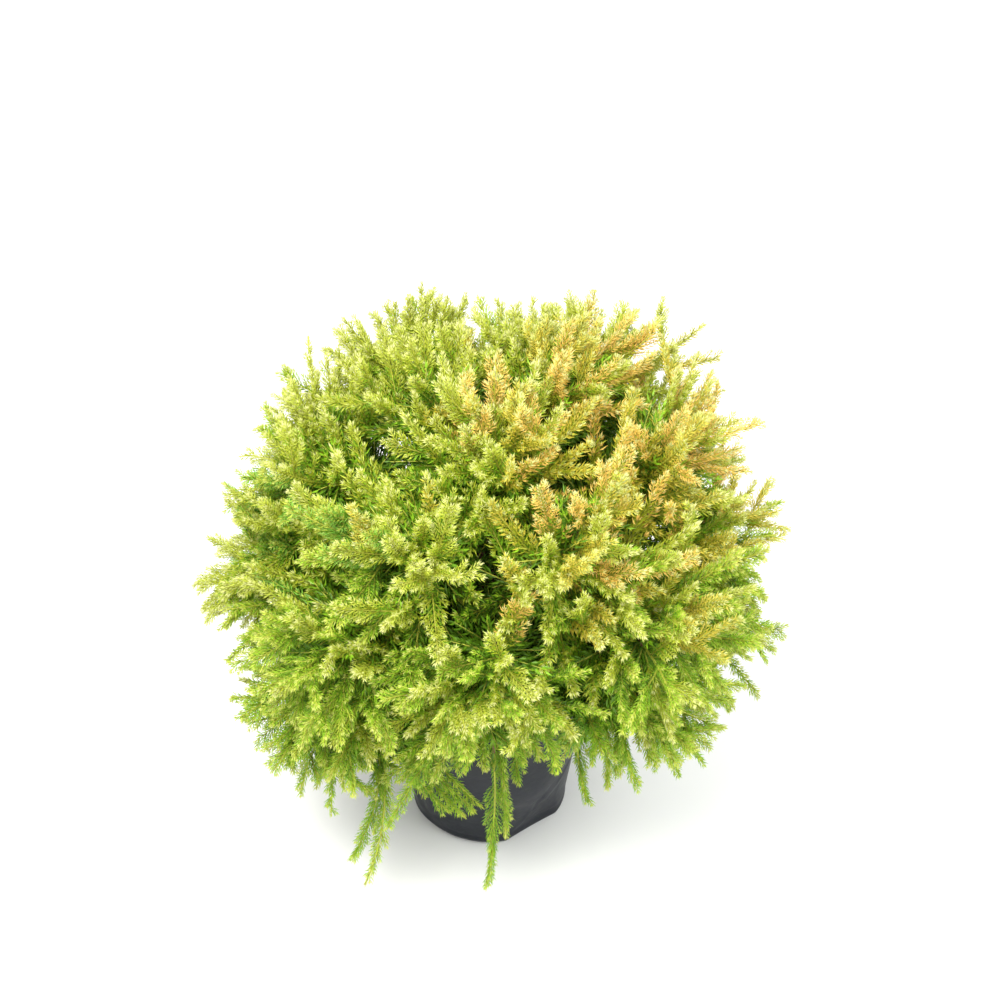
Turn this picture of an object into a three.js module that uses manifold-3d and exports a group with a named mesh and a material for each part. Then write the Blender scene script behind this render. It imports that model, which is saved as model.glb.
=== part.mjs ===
// A dwarf globe Japanese cedar in a soft black nursery pot.
// Millimetres, +Z up. The origin is the middle of the pot's flat underside, and -Y is the front.
import * as THREE from "three";
import { mergeVertices } from "three/addons/utils/BufferGeometryUtils.js";
import Module from "manifold-3d";

const wasm = await Module();
wasm.setup();

// Driving dimensions of the pot
const POT_HEIGHT = 210;
const POT_FOOT_RADIUS = 94;
const POT_RIM_RADIUS = 120;
const POT_WALL = 2;
const POT_FOOT_ROUND = 11;
const POT_FLOOR = 5;
const LIP_WIDTH = 5;
const LIP_HEIGHT = 10;
const LIP_CHAMFER = 2;
const POT_SIDES = 28;
const DRAIN_HOLES = 6;
const DRAIN_HOLE_RADIUS = 6;
const DRAIN_RING_RADIUS = 66;
const SOIL_BELOW_RIM = 22;
const SOIL_CROWNING = 4;

// The soft wall is pushed in low down at the front right: azimuth and half width in degrees, then height,
// half height and depth.
const DENT = { azimuth: 40, halfWidth: 28, height: 32, halfHeight: 40, depth: 9 };

// Driving dimensions of the trunk, the boughs and the crown
const TRUNK_FOOT_RADIUS = 12.5;
const TRUNK_TIP_RADIUS = 7.5;
const TRUNK_FLARE = 8;
const TRUNK_FLARE_HEIGHT = 13;
const TRUNK_TOP = 379;
const TRUNK_LEAN = [9, -5];
const TRUNK_RINGS = [0, 6, 14, 28, 52, 88, 126, 160];
const TRUNK_SIDES = 12;
const BUTTRESSES = 4;
const BUTTRESS_SHARE = 0.16;
const BOUGH_ROOT_RADIUS = 4.8;
const BOUGH_TIP_RADIUS = 3.4;
const CROWN_CENTRE = new THREE.Vector3(5, 0, 372);
const CROWN_RADIUS = 333;
const CROWN_RISE = 296;
const CROWN_DROP = 300;
const CLEARANCE = 0.3;
const CELL_MARGIN = 0.45;
const LOWEST_TIP = 9;
const POT_MARGIN = 22;

// The share of a limb that is bare bough, and where each part of a mass lies, as a share of the crown's reach
const BARE_SHARE = 0.8;
const TWIGS_FORK = 0.56;
const CORE_MIDDLE = 0.64;
const CORE_HALF_DEPTH = 0.16;
const CORE_BACK = 0.52;
const CORE_HALF_WIDTH = 0.5;
const CORE_LUMPS = 0.14;
const CORE_RINGS = 4;
const CORE_OPENING = 104;

// Tiers of foliage masses, from the skirt to the top: elevation and first azimuth in degrees, number of masses,
// height on the trunk that their boughs leave from, and the elevation at which they leave it.
const TIERS = [
  { elevation: -31, first: -2, masses: 7, leaves: 259, rises: -4 },
  { elevation: 3, first: 2, masses: 8, leaves: 295, rises: 12 },
  { elevation: 37, first: 31, masses: 6, leaves: 330, rises: 30 },
  { elevation: 70, first: 10, masses: 3, leaves: 361, rises: 72 },
];
const TIER_STAGGER = 15;
const TIER_JITTER = 5;

// Where the crown swells or falls back: azimuth, elevation, extra share of the reach, and half width in degrees
const SWELLS = [
  [124, 38, 0.07, 27],
  [-155, 52, 0.06, 12],
  [-128, 40, 0.05, 14],
  [-98, 6, -0.08, 24],
  [-56, -36, 0.20, 24],
  [72, -30, 0.06, 22],
  [2, -49, -0.27, 34],
  [180, 62, -0.03, 16],
];

// Single shoots that stand out of the crown: azimuth, elevation and distance of the tip from the crown's centre
const LONG_SHOOTS = [
  [106, 21, 350],
  [96, 9, 338],
  [90, -23, 366],
  [78, -32, 344],
  [64, -43, 336],
  [50, -50, 302],
  [-90, -7, 350],
  [-103, 18, 308],
  [-72, -27, 338],
  [-56, -41, 356],
  [-47, -44, 354],
  [-86, -27, 332],
  [-37, -54, 408],
  [-1, -59, 390],
  [-8, -54, 302],
  [122, 37, 362],
  [146, 50, 328],
  [-156, 52, 326],
  [-132, 44, 324],
  [150, -46, 366],
  [-122, -44, 362],
  [112, 41, 332],
  [-118, 44, 328],
  [-74, -7, 320],
];

// Tufts are the short shoots that cover a mass's core, as long as a share of the crown's reach. Plumes are
// longer: each is a slim spine along a twig with side shoots of needles that stand out of it.
const TUFT_LENGTHS = [0.09, 0.19];
const TUFT_FACING = 0.25;
const TUFT_HANG = 0.6;
const PLUMES_PER_MASS = 3;
const PLUME_SPREAD = 24;
const PLUME_SHORTEST = 0.93;
const EDGE_MARGIN = 2;
const PLUME_STARTS = 0.42;
const PLUME_BANDS = 3;
const PLUME_POINT = 0.7;
const PLUME_RADIUS = 7.5;
const PLUME_TAPER = 0.4;
const SHOOT_STAND = 13;
const SHOOT_LEAN = 17;
const SHOOT_SHRINK = 0.25;
const SKIRT_EDGE = -53;
const SKIRT_LIFT = 12;
const SKIRT_LIFT_WIDTH = 26;

// The foliage over the front of the pot ends at a slant: how steeply the way to it falls, its distance from the
// crown's centre, and how much farther off it is for the square of the way sideways.
const FRONT_SLANT = -55;
const FRONT_EDGE = 224;
const FRONT_BOW = 0.0055;

// Shoots below this elevation hang, fully so when lower by the range, and arch by a share of their length
const HANG_BELOW = 12;
const HANG_RANGE = 60;
const TWIG_ARCH = 0.28;

// Steps of a sequence that keeps points evenly spread however many are taken
const EVEN_STEPS = [0.7548776662, 0.569840291];

const COLOURS = {
  pot: 0x24262a,
  soil: 0x3a2a1f,
  bark: 0x6b4a33,
  lime: 0xa9bb3a,
  yellow: 0xc9c559,
  apricot: 0xd2a552,
  green: 0x6f9a33,
};

const DEGREE = Math.PI / 180;

function material(colour, roughness) {
  return new THREE.MeshStandardMaterial({ color: colour, roughness, metalness: 0 });
}

// A repeatable number from 0 to 1 for a whole-number key
function chance(key) {
  let h = Math.imul(key + 1013, 2654435761);
  h = Math.imul(h ^ (h >>> 15), 2246822519);
  h = Math.imul(h ^ (h >>> 13), 3266489917);
  return ((h ^ (h >>> 16)) >>> 0) / 4294967296;
}

// The unit direction at an azimuth from the front, turning to the right, and an elevation
function towards(azimuth, elevation) {
  const a = azimuth * DEGREE;
  const e = elevation * DEGREE;
  return new THREE.Vector3(Math.sin(a) * Math.cos(e), -Math.cos(a) * Math.cos(e), Math.sin(e));
}

function azimuthOf(direction) {
  return Math.atan2(direction.x, -direction.y) / DEGREE;
}

function elevationOf(direction) {
  return Math.asin(direction.z / direction.length()) / DEGREE;
}

// A solid as a three.js geometry, and back
function geometryOf(solid) {
  const mesh = solid.getMesh();
  return new THREE.BufferGeometry()
    .setAttribute("position", new THREE.BufferAttribute(new Float32Array(mesh.vertProperties), 3))
    .setIndex(new THREE.BufferAttribute(new Uint32Array(mesh.triVerts), 1));
}

function solidOf(geometry) {
  const bare = geometry.clone();
  bare.deleteAttribute("normal");
  bare.deleteAttribute("uv");
  const merged = mergeVertices(bare, 1e-4);
  const triVerts = new Uint32Array(merged.index.array);
  const vertProperties = merged.attributes.position.array;
  return new wasm.Manifold(new wasm.Mesh({ numProp: 3, vertProperties, triVerts }));
}

// A geometry from points and faces
function faceted(points, faces) {
  const flat = new Float32Array(points.flatMap((p) => [p.x, p.y, p.z]));
  const geometry = new THREE.BufferGeometry();
  return geometry.setAttribute("position", new THREE.BufferAttribute(flat, 3)).setIndex(faces.flat());
}

// A closed geometry over rings of points that all have the same count, with a flat fan over each end. A ring of
// one point is a tip. Rings run anticlockwise as seen from the last ring.
function skinOver(rings) {
  const points = rings.flat();
  const starts = [];
  let count = 0;
  for (const ring of rings) {
    starts.push(count);
    count += ring.length;
  }
  const faces = [];
  for (let k = 0; k + 1 < rings.length; k++) {
    const [low, high] = [rings[k].length, rings[k + 1].length];
    const sides = Math.max(low, high);
    for (let i = 0; i < sides; i++) {
      const a = starts[k] + (i % low);
      const b = starts[k] + ((i + 1) % low);
      const c = starts[k + 1] + (i % high);
      const d = starts[k + 1] + ((i + 1) % high);
      if (low > 1) faces.push(a, b, d);
      if (high > 1) faces.push(a, d, c);
    }
  }
  for (const [k, flip] of [[0, true], [rings.length - 1, false]]) {
    const ring = rings[k].length;
    for (let i = 1; i + 1 < ring; i++) {
      const fan = [starts[k], starts[k] + i, starts[k] + i + 1];
      faces.push(...(flip ? fan.reverse() : fan));
    }
  }
  return faceted(points, faces);
}

// Two unit vectors across a direction
function across(direction) {
  const helper = Math.abs(direction.z) > 0.9 ? new THREE.Vector3(1, 0, 0) : new THREE.Vector3(0, 0, 1);
  const u = new THREE.Vector3().crossVectors(helper, direction).normalize();
  const v = new THREE.Vector3().crossVectors(direction, u).normalize();
  return [u, v];
}

// A ring of points round a centre, square to a direction
function ringAt(centre, direction, radius, sides, turn = 0) {
  const [u, v] = across(direction);
  return Array.from({ length: sides }, (_, i) => {
    const a = ((i + turn) / sides) * 2 * Math.PI;
    return centre.clone().addScaledVector(u, radius * Math.cos(a)).addScaledVector(v, radius * Math.sin(a));
  });
}

// A round limb along a curve, from share a to share b, whose radius runs evenly from first to last
function limb(curve, a, b, first, last, sides, steps) {
  const rings = [];
  for (let k = 0; k <= steps; k++) {
    const share = a + ((b - a) * k) / steps;
    const radius = first + ((last - first) * k) / steps;
    rings.push(ringAt(curve.getPoint(share), curve.getTangent(share), radius, sides));
  }
  return solidOf(skinOver(rings));
}

// The pot

// How far the soft wall is pushed in at an angle and a height
function dentAt(angle, height) {
  const azimuth = Math.atan2(Math.cos(angle), -Math.sin(angle)) / DEGREE;
  const sideways = (azimuth - DENT.azimuth) / DENT.halfWidth;
  const upwards = (height - DENT.height) / DENT.halfHeight;
  return DENT.depth * Math.exp(-(sideways ** 2) - upwards ** 2) * Math.min(1, height / POT_FOOT_ROUND);
}

// A level ring of the pot or of what fills it, which follows the dent
function potRing(radius, height, dented = true) {
  return Array.from({ length: POT_SIDES }, (_, i) => {
    const angle = (i / POT_SIDES) * 2 * Math.PI;
    const r = radius - (dented ? dentAt(angle, height) : 0);
    return new THREE.Vector3(r * Math.cos(angle), r * Math.sin(angle), height);
  });
}

function potRadius(height) {
  return POT_FOOT_RADIUS + ((POT_RIM_RADIUS - POT_FOOT_RADIUS) * height) / POT_HEIGHT;
}

const POT_WALL_HEIGHTS = [POT_FOOT_ROUND, 26, 42, 58, 84, 125, POT_HEIGHT - LIP_HEIGHT - LIP_WIDTH];

function pot() {
  const rings = [[new THREE.Vector3(0, 0, 0)]];
  rings.push(potRing(POT_FOOT_RADIUS - POT_FOOT_ROUND, 0, false));
  rings.push(potRing(POT_FOOT_RADIUS - POT_FOOT_ROUND * 0.3, POT_FOOT_ROUND * 0.3));
  for (const height of POT_WALL_HEIGHTS) {
    rings.push(potRing(potRadius(height), height));
  }
  const lip = POT_RIM_RADIUS + LIP_WIDTH;
  rings.push(potRing(lip, POT_HEIGHT - LIP_HEIGHT, false));
  rings.push(potRing(lip, POT_HEIGHT - LIP_CHAMFER, false));
  rings.push(potRing(lip - LIP_CHAMFER, POT_HEIGHT, false));
  rings.push(potRing(POT_RIM_RADIUS - POT_WALL, POT_HEIGHT, false));
  for (const height of [...POT_WALL_HEIGHTS].reverse()) {
    rings.push(potRing(potRadius(height) - POT_WALL, height));
  }
  rings.push(potRing(POT_FOOT_RADIUS - POT_FOOT_ROUND * 0.6 - POT_WALL, POT_FLOOR));
  rings.push([new THREE.Vector3(0, 0, POT_FLOOR)]);
  let solid = solidOf(skinOver(rings));
  for (let i = 0; i < DRAIN_HOLES; i++) {
    const angle = ((i + 0.5) / DRAIN_HOLES) * 2 * Math.PI;
    const hole = new THREE.CylinderGeometry(DRAIN_HOLE_RADIUS, DRAIN_HOLE_RADIUS, POT_FOOT_ROUND * 2, 8);
    hole.rotateX(Math.PI / 2);
    hole.translate(DRAIN_RING_RADIUS * Math.cos(angle), DRAIN_RING_RADIUS * Math.sin(angle), 0);
    solid = solid.subtract(solidOf(hole));
  }
  return solid;
}

// The potting mix fills the pot to just under its rim, and crowns a little round the trunk
const SOIL_LEVEL = POT_HEIGHT - SOIL_BELOW_RIM;

function pottingMix() {
  const inside = POT_WALL + 4 * CLEARANCE;
  const floor = POT_FLOOR + CLEARANCE;
  const rings = [[new THREE.Vector3(0, 0, floor)]];
  rings.push(potRing(POT_FOOT_RADIUS - POT_FOOT_ROUND - inside, floor));
  for (const height of POT_WALL_HEIGHTS.slice(0, -1)) {
    rings.push(potRing(potRadius(height) - inside, height));
  }
  const edge = SOIL_LEVEL - SOIL_CROWNING;
  rings.push(potRing(potRadius(edge) - inside, edge));
  rings.push(potRing(potRadius(edge) * 0.62, SOIL_LEVEL - 1, false));
  rings.push(potRing(potRadius(edge) * 0.36, SOIL_LEVEL, false));
  return solidOf(skinOver(rings));
}

// The trunk and its boughs

// The middle of the trunk at a height: it leans and straightens again
function trunkMiddle(height) {
  const up = (height - SOIL_LEVEL) / (TRUNK_TOP - SOIL_LEVEL);
  const sway = Math.sin(Math.PI * Math.min(1, Math.max(0, up)));
  return new THREE.Vector3(TRUNK_LEAN[0] * sway, TRUNK_LEAN[1] * sway, height);
}

function trunkRadius(height) {
  const up = (height - SOIL_LEVEL) / (TRUNK_TOP - SOIL_LEVEL);
  const flare = TRUNK_FLARE * Math.exp(-(height - SOIL_LEVEL) / TRUNK_FLARE_HEIGHT);
  return TRUNK_FOOT_RADIUS + (TRUNK_TIP_RADIUS - TRUNK_FOOT_RADIUS) * up + flare;
}

// The trunk, or with extra the space that a bough has to keep clear of
function trunk(extra = 0) {
  const tall = TRUNK_TOP - SOIL_LEVEL;
  const rings = [...TRUNK_RINGS, tall].map((step) => {
    const height = step === 0 ? CLEARANCE - extra : step === tall ? tall + extra : step;
    const middle = trunkMiddle(SOIL_LEVEL + height);
    const buttress = BUTTRESS_SHARE * Math.exp(-height / TRUNK_FLARE_HEIGHT);
    return Array.from({ length: TRUNK_SIDES }, (_, i) => {
      const angle = (i / TRUNK_SIDES) * 2 * Math.PI;
      const radius = trunkRadius(SOIL_LEVEL + height) * (1 + buttress * Math.cos(BUTTRESSES * angle)) + extra;
      return middle.clone().add(new THREE.Vector3(radius * Math.cos(angle), radius * Math.sin(angle), 0));
    });
  });
  return solidOf(skinOver(rings));
}

// The crown

// How far the crown reaches from its centre in a direction
function reach(direction) {
  const tall = direction.z > 0 ? CROWN_RISE : CROWN_DROP;
  const round = 1 / Math.hypot(Math.hypot(direction.x, direction.y) / CROWN_RADIUS, direction.z / tall);
  let share = 1;
  for (const [azimuth, elevation, extra, halfWidth] of SWELLS) {
    const apart = direction.angleTo(towards(azimuth, elevation)) / DEGREE;
    share += extra * Math.exp(-((apart / halfWidth) ** 2));
  }
  return round * share;
}

const masses = [];
for (const [tier, { elevation, first, masses: count, leaves, rises }] of TIERS.entries()) {
  for (let k = 0; k < count; k++) {
    const number = masses.length;
    const azimuth = first + (360 * k) / count + TIER_JITTER * (chance(number * 7 + 1) - 0.5);
    const middle = towards(azimuth, elevation + TIER_JITTER * (chance(number * 7 + 2) - 0.5));
    const height = leaves + TIER_STAGGER * ((k % 2) - 0.5) * (tier < TIERS.length - 1 ? 1 : 0);
    masses.push({ number, middle, azimuth, height, rises });
  }
}

// The mass whose middle is nearest to a direction, and how many degrees nearer it is than the next
function ownerOf(direction) {
  const near = masses
    .map((mass) => ({ mass, apart: direction.angleTo(mass.middle) / DEGREE }))
    .sort((a, b) => a.apart - b.apart);
  return { mass: near[0].mass, margin: near[1].apart - near[0].apart };
}

// How far a point lies inside the space of a mass: the least distance to the planes through the crown's centre
// that part it from its neighbours
function depthInCell(point, mass) {
  const from = point.clone().sub(CROWN_CENTRE);
  let least = Infinity;
  for (const other of masses) {
    if (other === mass) continue;
    const normal = mass.middle.clone().sub(other.middle).normalize();
    least = Math.min(least, from.dot(normal));
  }
  return least;
}

// Whether a point of a mass keeps to its space, clear of the pot, the boughs and the ground
function isFree(point, mass) {
  if (point.z < LOWEST_TIP || depthInCell(point, mass) < CELL_MARGIN) return false;
  const room = LIP_WIDTH + POT_MARGIN;
  const widest = Math.min(POT_RIM_RADIUS, potRadius(point.z)) + room;
  return point.z > POT_HEIGHT + POT_MARGIN || Math.hypot(point.x, point.y) > widest;
}

// Whether a point lies beyond the slanting edge of the foliage over the front of the pot
function isOverFront(point) {
  const from = point.clone().sub(CROWN_CENTRE);
  return from.dot(towards(0, FRONT_SLANT)) > FRONT_EDGE + FRONT_BOW * from.x ** 2;
}

// Whether the straight way between two points is free, tested at even steps
function isClear(from, to, mass) {
  const shares = [0.2, 0.4, 0.6, 0.8, 1];
  return shares.every((share) => isFree(from.clone().lerp(to, share), mass));
}

// The limb that carries a mass runs from inside the trunk to the point where the twigs fork
function limbCurve(mass) {
  const start = trunkMiddle(mass.height);
  const fork = CROWN_CENTRE.clone().addScaledVector(mass.middle, TWIGS_FORK * reach(mass.middle));
  const length = start.distanceTo(fork);
  const bend = start.clone().addScaledVector(towards(mass.azimuth, mass.rises), length * 0.45);
  return new THREE.QuadraticBezierCurve3(start, bend, fork);
}

function bough(mass, trunkSpace) {
  const whole = limb(limbCurve(mass), 0, BARE_SHARE, BOUGH_ROOT_RADIUS, BOUGH_TIP_RADIUS, 6, 2);
  return whole.subtract(trunkSpace);
}

// A plume: a slim three-sided spine of turned rings along a twig, pointed at both ends, with a side shoot of
// needles that stands out of every other face. A side shoot that would leave the mass's space is left out, and
// where the spine itself would leave it there is no plume.
function plume(curve, mass) {
  const ringShare = (k) => PLUME_STARTS + ((1 - PLUME_STARTS) * k) / (PLUME_BANDS + PLUME_POINT);
  const points = [curve.getPoint(0)];
  for (let k = 0; k <= PLUME_BANDS; k++) {
    const radius = PLUME_RADIUS * (1 - PLUME_TAPER * (k / PLUME_BANDS));
    points.push(...ringAt(curve.getPoint(ringShare(k)), curve.getTangent(ringShare(k)), radius, 3, k * 0.5));
  }
  const tip = points.push(curve.getPoint(1)) - 1;
  if (!points.slice(1).every((point) => isFree(point, mass))) return [];
  const faces = [];
  const last = 3 * PLUME_BANDS;
  for (let i = 0; i < 3; i++) {
    const next = (i + 1) % 3;
    faces.push([0, 1 + next, 1 + i], [last + 1 + i, last + 1 + next, tip]);
  }
  for (let k = 0; k < PLUME_BANDS; k++) {
    const middle = curve.getPoint(ringShare(k + 0.5));
    const forward = curve.getTangent(ringShare(k + 0.5));
    const size = 1 - SHOOT_SHRINK * k;
    for (let i = 0; i < 3; i++) {
      const [a, b] = [3 * k + 1 + i, 3 * k + 1 + ((i + 1) % 3)];
      const [c, d] = [a + 3, b + 3];
      faces.push([b, d, c]);
      const foot = points[a].clone().add(points[b]).add(points[c]).divideScalar(3);
      const outwards = foot.clone().sub(middle);
      outwards.addScaledVector(forward, -outwards.dot(forward)).normalize();
      foot.addScaledVector(outwards, size * SHOOT_STAND).addScaledVector(forward, size * SHOOT_LEAN);
      faces.push(...pointed([a, b, c], foot, points, mass));
    }
  }
  return [solidOf(faceted(points, faces))];
}

// A face drawn out to a point, or left as it is where the point wouldn't be free
function pointed(corners, point, points, mass) {
  if (!isFree(point, mass)) return [corners];
  const tip = points.push(point) - 1;
  return corners.map((corner, i) => [corner, corners[(i + 1) % 3], tip]);
}

// The lowest elevation that the skirt hangs to: it is lifted over the front of the pot
function skirtEdge(azimuth) {
  return SKIRT_EDGE + SKIRT_LIFT * Math.exp(-((azimuth / SKIRT_LIFT_WIDTH) ** 2));
}

// The direction of a mass's twig number j: a spread of points that stays even however many are taken
function twigDirection(mass, j) {
  const out = PLUME_SPREAD * Math.sqrt((0.5 + j * EVEN_STEPS[0]) % 1);
  const round = 360 * ((chance(mass.number * 31) + j * EVEN_STEPS[1]) % 1);
  const [u, v] = across(mass.middle);
  return mass.middle
    .clone()
    .multiplyScalar(Math.cos(out * DEGREE))
    .addScaledVector(u, Math.sin(out * DEGREE) * Math.cos(round * DEGREE))
    .addScaledVector(v, Math.sin(out * DEGREE) * Math.sin(round * DEGREE));
}

// How much a shoot hangs: from slightly below 0 at the top of the crown, where they turn up, to 1 at the skirt
function hangOf(direction) {
  return THREE.MathUtils.clamp((HANG_BELOW - elevationOf(direction)) / HANG_RANGE, -0.5, 1);
}

// The way that short shoots grow in a direction from the crown's centre
function growth(direction) {
  return direction.clone().add(new THREE.Vector3(0, 0, -TUFT_HANG * hangOf(direction))).normalize();
}

// A twig runs from the fork to its tip. High ones turn up at their tips and low ones hang.
function twigCurve(mass, direction, length) {
  const fork = limbCurve(mass).getPoint(1);
  const tip = CROWN_CENTRE.clone().addScaledVector(direction, length);
  const bend = fork.clone().lerp(tip, 0.5);
  bend.z += hangOf(direction) * TWIG_ARCH * fork.distanceTo(tip);
  return new THREE.QuadraticBezierCurve3(fork, bend, tip);
}

// The points of a lumpy dome of six-fold rings round the middle of a mass, kept to its space
function domePoints(mass, back) {
  const far = reach(mass.middle);
  const centre = CROWN_CENTRE.clone().addScaledVector(mass.middle, CORE_MIDDLE * far);
  const [u, v] = across(mass.middle);
  const points = [];
  for (let ring = 0; ring <= CORE_RINGS; ring++) {
    const out = (ring / CORE_RINGS) * CORE_OPENING * DEGREE;
    const count = Math.max(1, 6 * ring);
    for (let i = 0; i < count; i++) {
      const turn = ((i + 0.5 * ring) / count) * 2 * Math.PI;
      const way = mass.middle.clone().multiplyScalar(Math.cos(out));
      way.addScaledVector(u, Math.sin(out) * Math.cos(turn)).addScaledVector(v, Math.sin(out) * Math.sin(turn));
      const flat = Math.hypot(Math.cos(out) / CORE_HALF_DEPTH, Math.sin(out) / CORE_HALF_WIDTH);
      let length = (far / flat) * (1 - CORE_LUMPS * chance(mass.number * 97 + points.length));
      const point = () => centre.clone().addScaledVector(way, length);
      while (length > 1 && (isOverFront(point()) || !isClear(back, point(), mass))) length -= 1;
      points.push(point());
    }
  }
  return points;
}

// The dense inside of a mass: the dome, closed with a cone towards the fork, with a pointed tuft on each face
function core(mass) {
  const back = CROWN_CENTRE.clone().addScaledVector(mass.middle, CORE_BACK * reach(mass.middle));
  const points = domePoints(mass, back);
  const at = (ring, i) => (ring === 0 ? 0 : 1 + 3 * ring * (ring - 1) + (i % (6 * ring)));
  const dome = [];
  for (let ring = 1; ring <= CORE_RINGS; ring++) {
    for (let i = 0; i < 6 * ring; i++) {
      const inner = i - Math.floor(i / ring);
      dome.push([at(ring, i), at(ring, i + 1), at(ring - 1, inner)]);
      if (i % ring) dome.push([at(ring, i), at(ring - 1, inner), at(ring - 1, inner - 1)]);
    }
  }
  const faces = dome.flatMap((corners) => tufted(corners, points, mass));
  const hub = points.push(back) - 1;
  for (let i = 0; i < 6 * CORE_RINGS; i++) faces.push([at(CORE_RINGS, i + 1), at(CORE_RINGS, i), hub]);
  return solidOf(faceted(points, faces));
}

// A face of the core drawn out to a tuft if it looks out of the crown, the way shoots grow there or straight out
function tufted(corners, points, mass) {
  const [a, b, c] = corners.map((corner) => points[corner]);
  const normal = b.clone().sub(a).cross(c.clone().sub(a)).normalize();
  const middle = a.clone().add(b).add(c).divideScalar(3);
  const outwards = middle.clone().sub(CROWN_CENTRE).normalize();
  if (normal.dot(outwards) < TUFT_FACING) return [corners];
  const share = THREE.MathUtils.lerp(...TUFT_LENGTHS, chance(mass.number * 131 + points.length));
  const ways = [growth(outwards).lerp(normal, 0.2).normalize(), outwards];
  const tips = ways.map((way) => middle.clone().addScaledVector(way, share * reach(mass.middle)));
  const tip = tips.find((way) => isFree(way, mass) && !isOverFront(way));
  return tip ? pointed(corners, tip, points, mass) : [corners];
}

// The twigs of a mass, as far as the skirt's edge and its own, and the single long shoots that are its own
function twigsOf(mass) {
  const twigs = [];
  for (let j = 0; j < PLUMES_PER_MASS; j++) {
    const direction = twigDirection(mass, j);
    const { mass: owner, margin } = ownerOf(direction);
    if (owner !== mass || margin < EDGE_MARGIN) continue;
    if (elevationOf(direction) < skirtEdge(azimuthOf(direction))) continue;
    const share = THREE.MathUtils.lerp(1, PLUME_SHORTEST, chance(mass.number * 61 + j));
    twigs.push(twigCurve(mass, direction, share * reach(direction)));
  }
  for (const [azimuth, elevation, length] of LONG_SHOOTS) {
    const direction = towards(azimuth, elevation);
    if (ownerOf(direction).mass === mass) twigs.push(twigCurve(mass, direction, length));
  }
  return twigs;
}

// A mass of foliage: its stem, its core and its plumes in one solid, with any hollow inside filled
function foliage(mass) {
  const path = limbCurve(mass);
  const speed = path.getPoint(BARE_SHARE).distanceTo(path.getPoint(BARE_SHARE + 0.01)) / 0.01;
  const stem = limb(path, BARE_SHARE + CLEARANCE / speed, 1, BOUGH_TIP_RADIUS, BOUGH_TIP_RADIUS * 0.8, 6, 1);
  const fused = wasm.Manifold.union([core(mass), stem, ...twigsOf(mass).flatMap((twig) => plume(twig, mass))]);
  return fused.decompose().sort((a, b) => b.volume() - a.volume())[0];
}

// The colour of a mass: apricot at the upper right, yellow at the top and front, green low down
function massColour(mass) {
  const { x, z } = mass.middle;
  if (x > 0.3 && z > 0.3) return COLOURS.apricot;
  if (z > 0.5) return COLOURS.yellow;
  return z < -0.2 ? COLOURS.green : COLOURS.lime;
}

const plant = new THREE.Group();

function place(name, solid, colour, roughness) {
  const mesh = new THREE.Mesh(geometryOf(solid), material(colour, roughness));
  mesh.name = name;
  plant.add(mesh);
}

place("pot", pot(), COLOURS.pot, 0.5);
place("potting_mix", pottingMix(), COLOURS.soil, 0.95);
place("trunk", trunk(), COLOURS.bark, 0.85);
const trunkSpace = trunk(CLEARANCE);
for (const mass of masses) {
  const label = String(mass.number + 1).padStart(2, "0");
  place("bough_" + label, bough(mass, trunkSpace), COLOURS.bark, 0.85);
  place("foliage_" + label, foliage(mass), massColour(mass), 0.7);
}

export default plant;
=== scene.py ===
"""A dwarf globe Japanese cedar in a soft black nursery pot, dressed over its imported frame.

Shoots and needles grow on from the limbs by the rule of the part's source, written again here and carried
to finer shoots. Metres, +Z up. The origin is the middle of the pot's flat underside, and -Y is the front."""
import math

import bpy
import numpy as np
from bpy.props import FloatProperty, FloatVectorProperty, IntProperty, PointerProperty
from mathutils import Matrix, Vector


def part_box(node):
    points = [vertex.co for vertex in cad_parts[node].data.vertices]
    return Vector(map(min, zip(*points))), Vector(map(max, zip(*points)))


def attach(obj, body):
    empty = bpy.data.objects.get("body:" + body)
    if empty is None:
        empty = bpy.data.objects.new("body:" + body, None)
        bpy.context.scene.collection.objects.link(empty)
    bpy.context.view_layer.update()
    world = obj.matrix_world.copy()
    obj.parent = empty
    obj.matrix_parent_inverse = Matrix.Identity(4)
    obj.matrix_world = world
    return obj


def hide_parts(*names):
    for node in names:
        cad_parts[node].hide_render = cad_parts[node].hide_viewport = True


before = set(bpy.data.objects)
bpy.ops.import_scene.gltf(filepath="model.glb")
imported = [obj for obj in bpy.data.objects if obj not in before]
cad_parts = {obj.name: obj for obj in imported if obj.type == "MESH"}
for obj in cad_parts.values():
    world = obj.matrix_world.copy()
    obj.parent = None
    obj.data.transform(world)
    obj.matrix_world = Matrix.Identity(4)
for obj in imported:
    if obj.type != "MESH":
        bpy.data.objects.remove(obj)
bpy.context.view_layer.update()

bl_info = {
    "name": "Potted globe cedar",
    "version": (1, 0, 0),
    "blender": (4, 5, 0),
    "location": "View3D > Sidebar > Cedar",
    "description": "Dresses a potted dwarf cedar with bark, shoots, needles, pot, potting mix and a stage",
    "category": "Add Mesh",
}

# Half the width of the floor
FLOOR_REACH = 6.0

# Heights that come from the frame
POT_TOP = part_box("pot")[1][2]
SOIL_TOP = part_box("potting_mix")[1][2]
TRUNK_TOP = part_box("trunk")[1][2]

# The pot: foot, wall, floor, lip and drain holes, with the levels between which these are cut
POT_FOOT_RADIUS = 0.094
POT_RIM_RADIUS = 0.120
POT_SLOPE = (POT_RIM_RADIUS - POT_FOOT_RADIUS) / POT_TOP
POT_FOOT_ROUND = 0.011
FOOT_FLATNESS = 0.6
FOOT_FULLNESS = 0.55
POT_WALL = 0.0016
POT_FLOOR = 0.005
LIP_RADIUS = 0.125
LIP_HEIGHT = 0.010
DRAIN_HOLES = 6
DRAIN_HOLE_RADIUS = 0.006
DRAIN_RING_RADIUS = 0.066
DRAIN_CUT = (-0.010, 0.012)
POT_SIDES = 200

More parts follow.
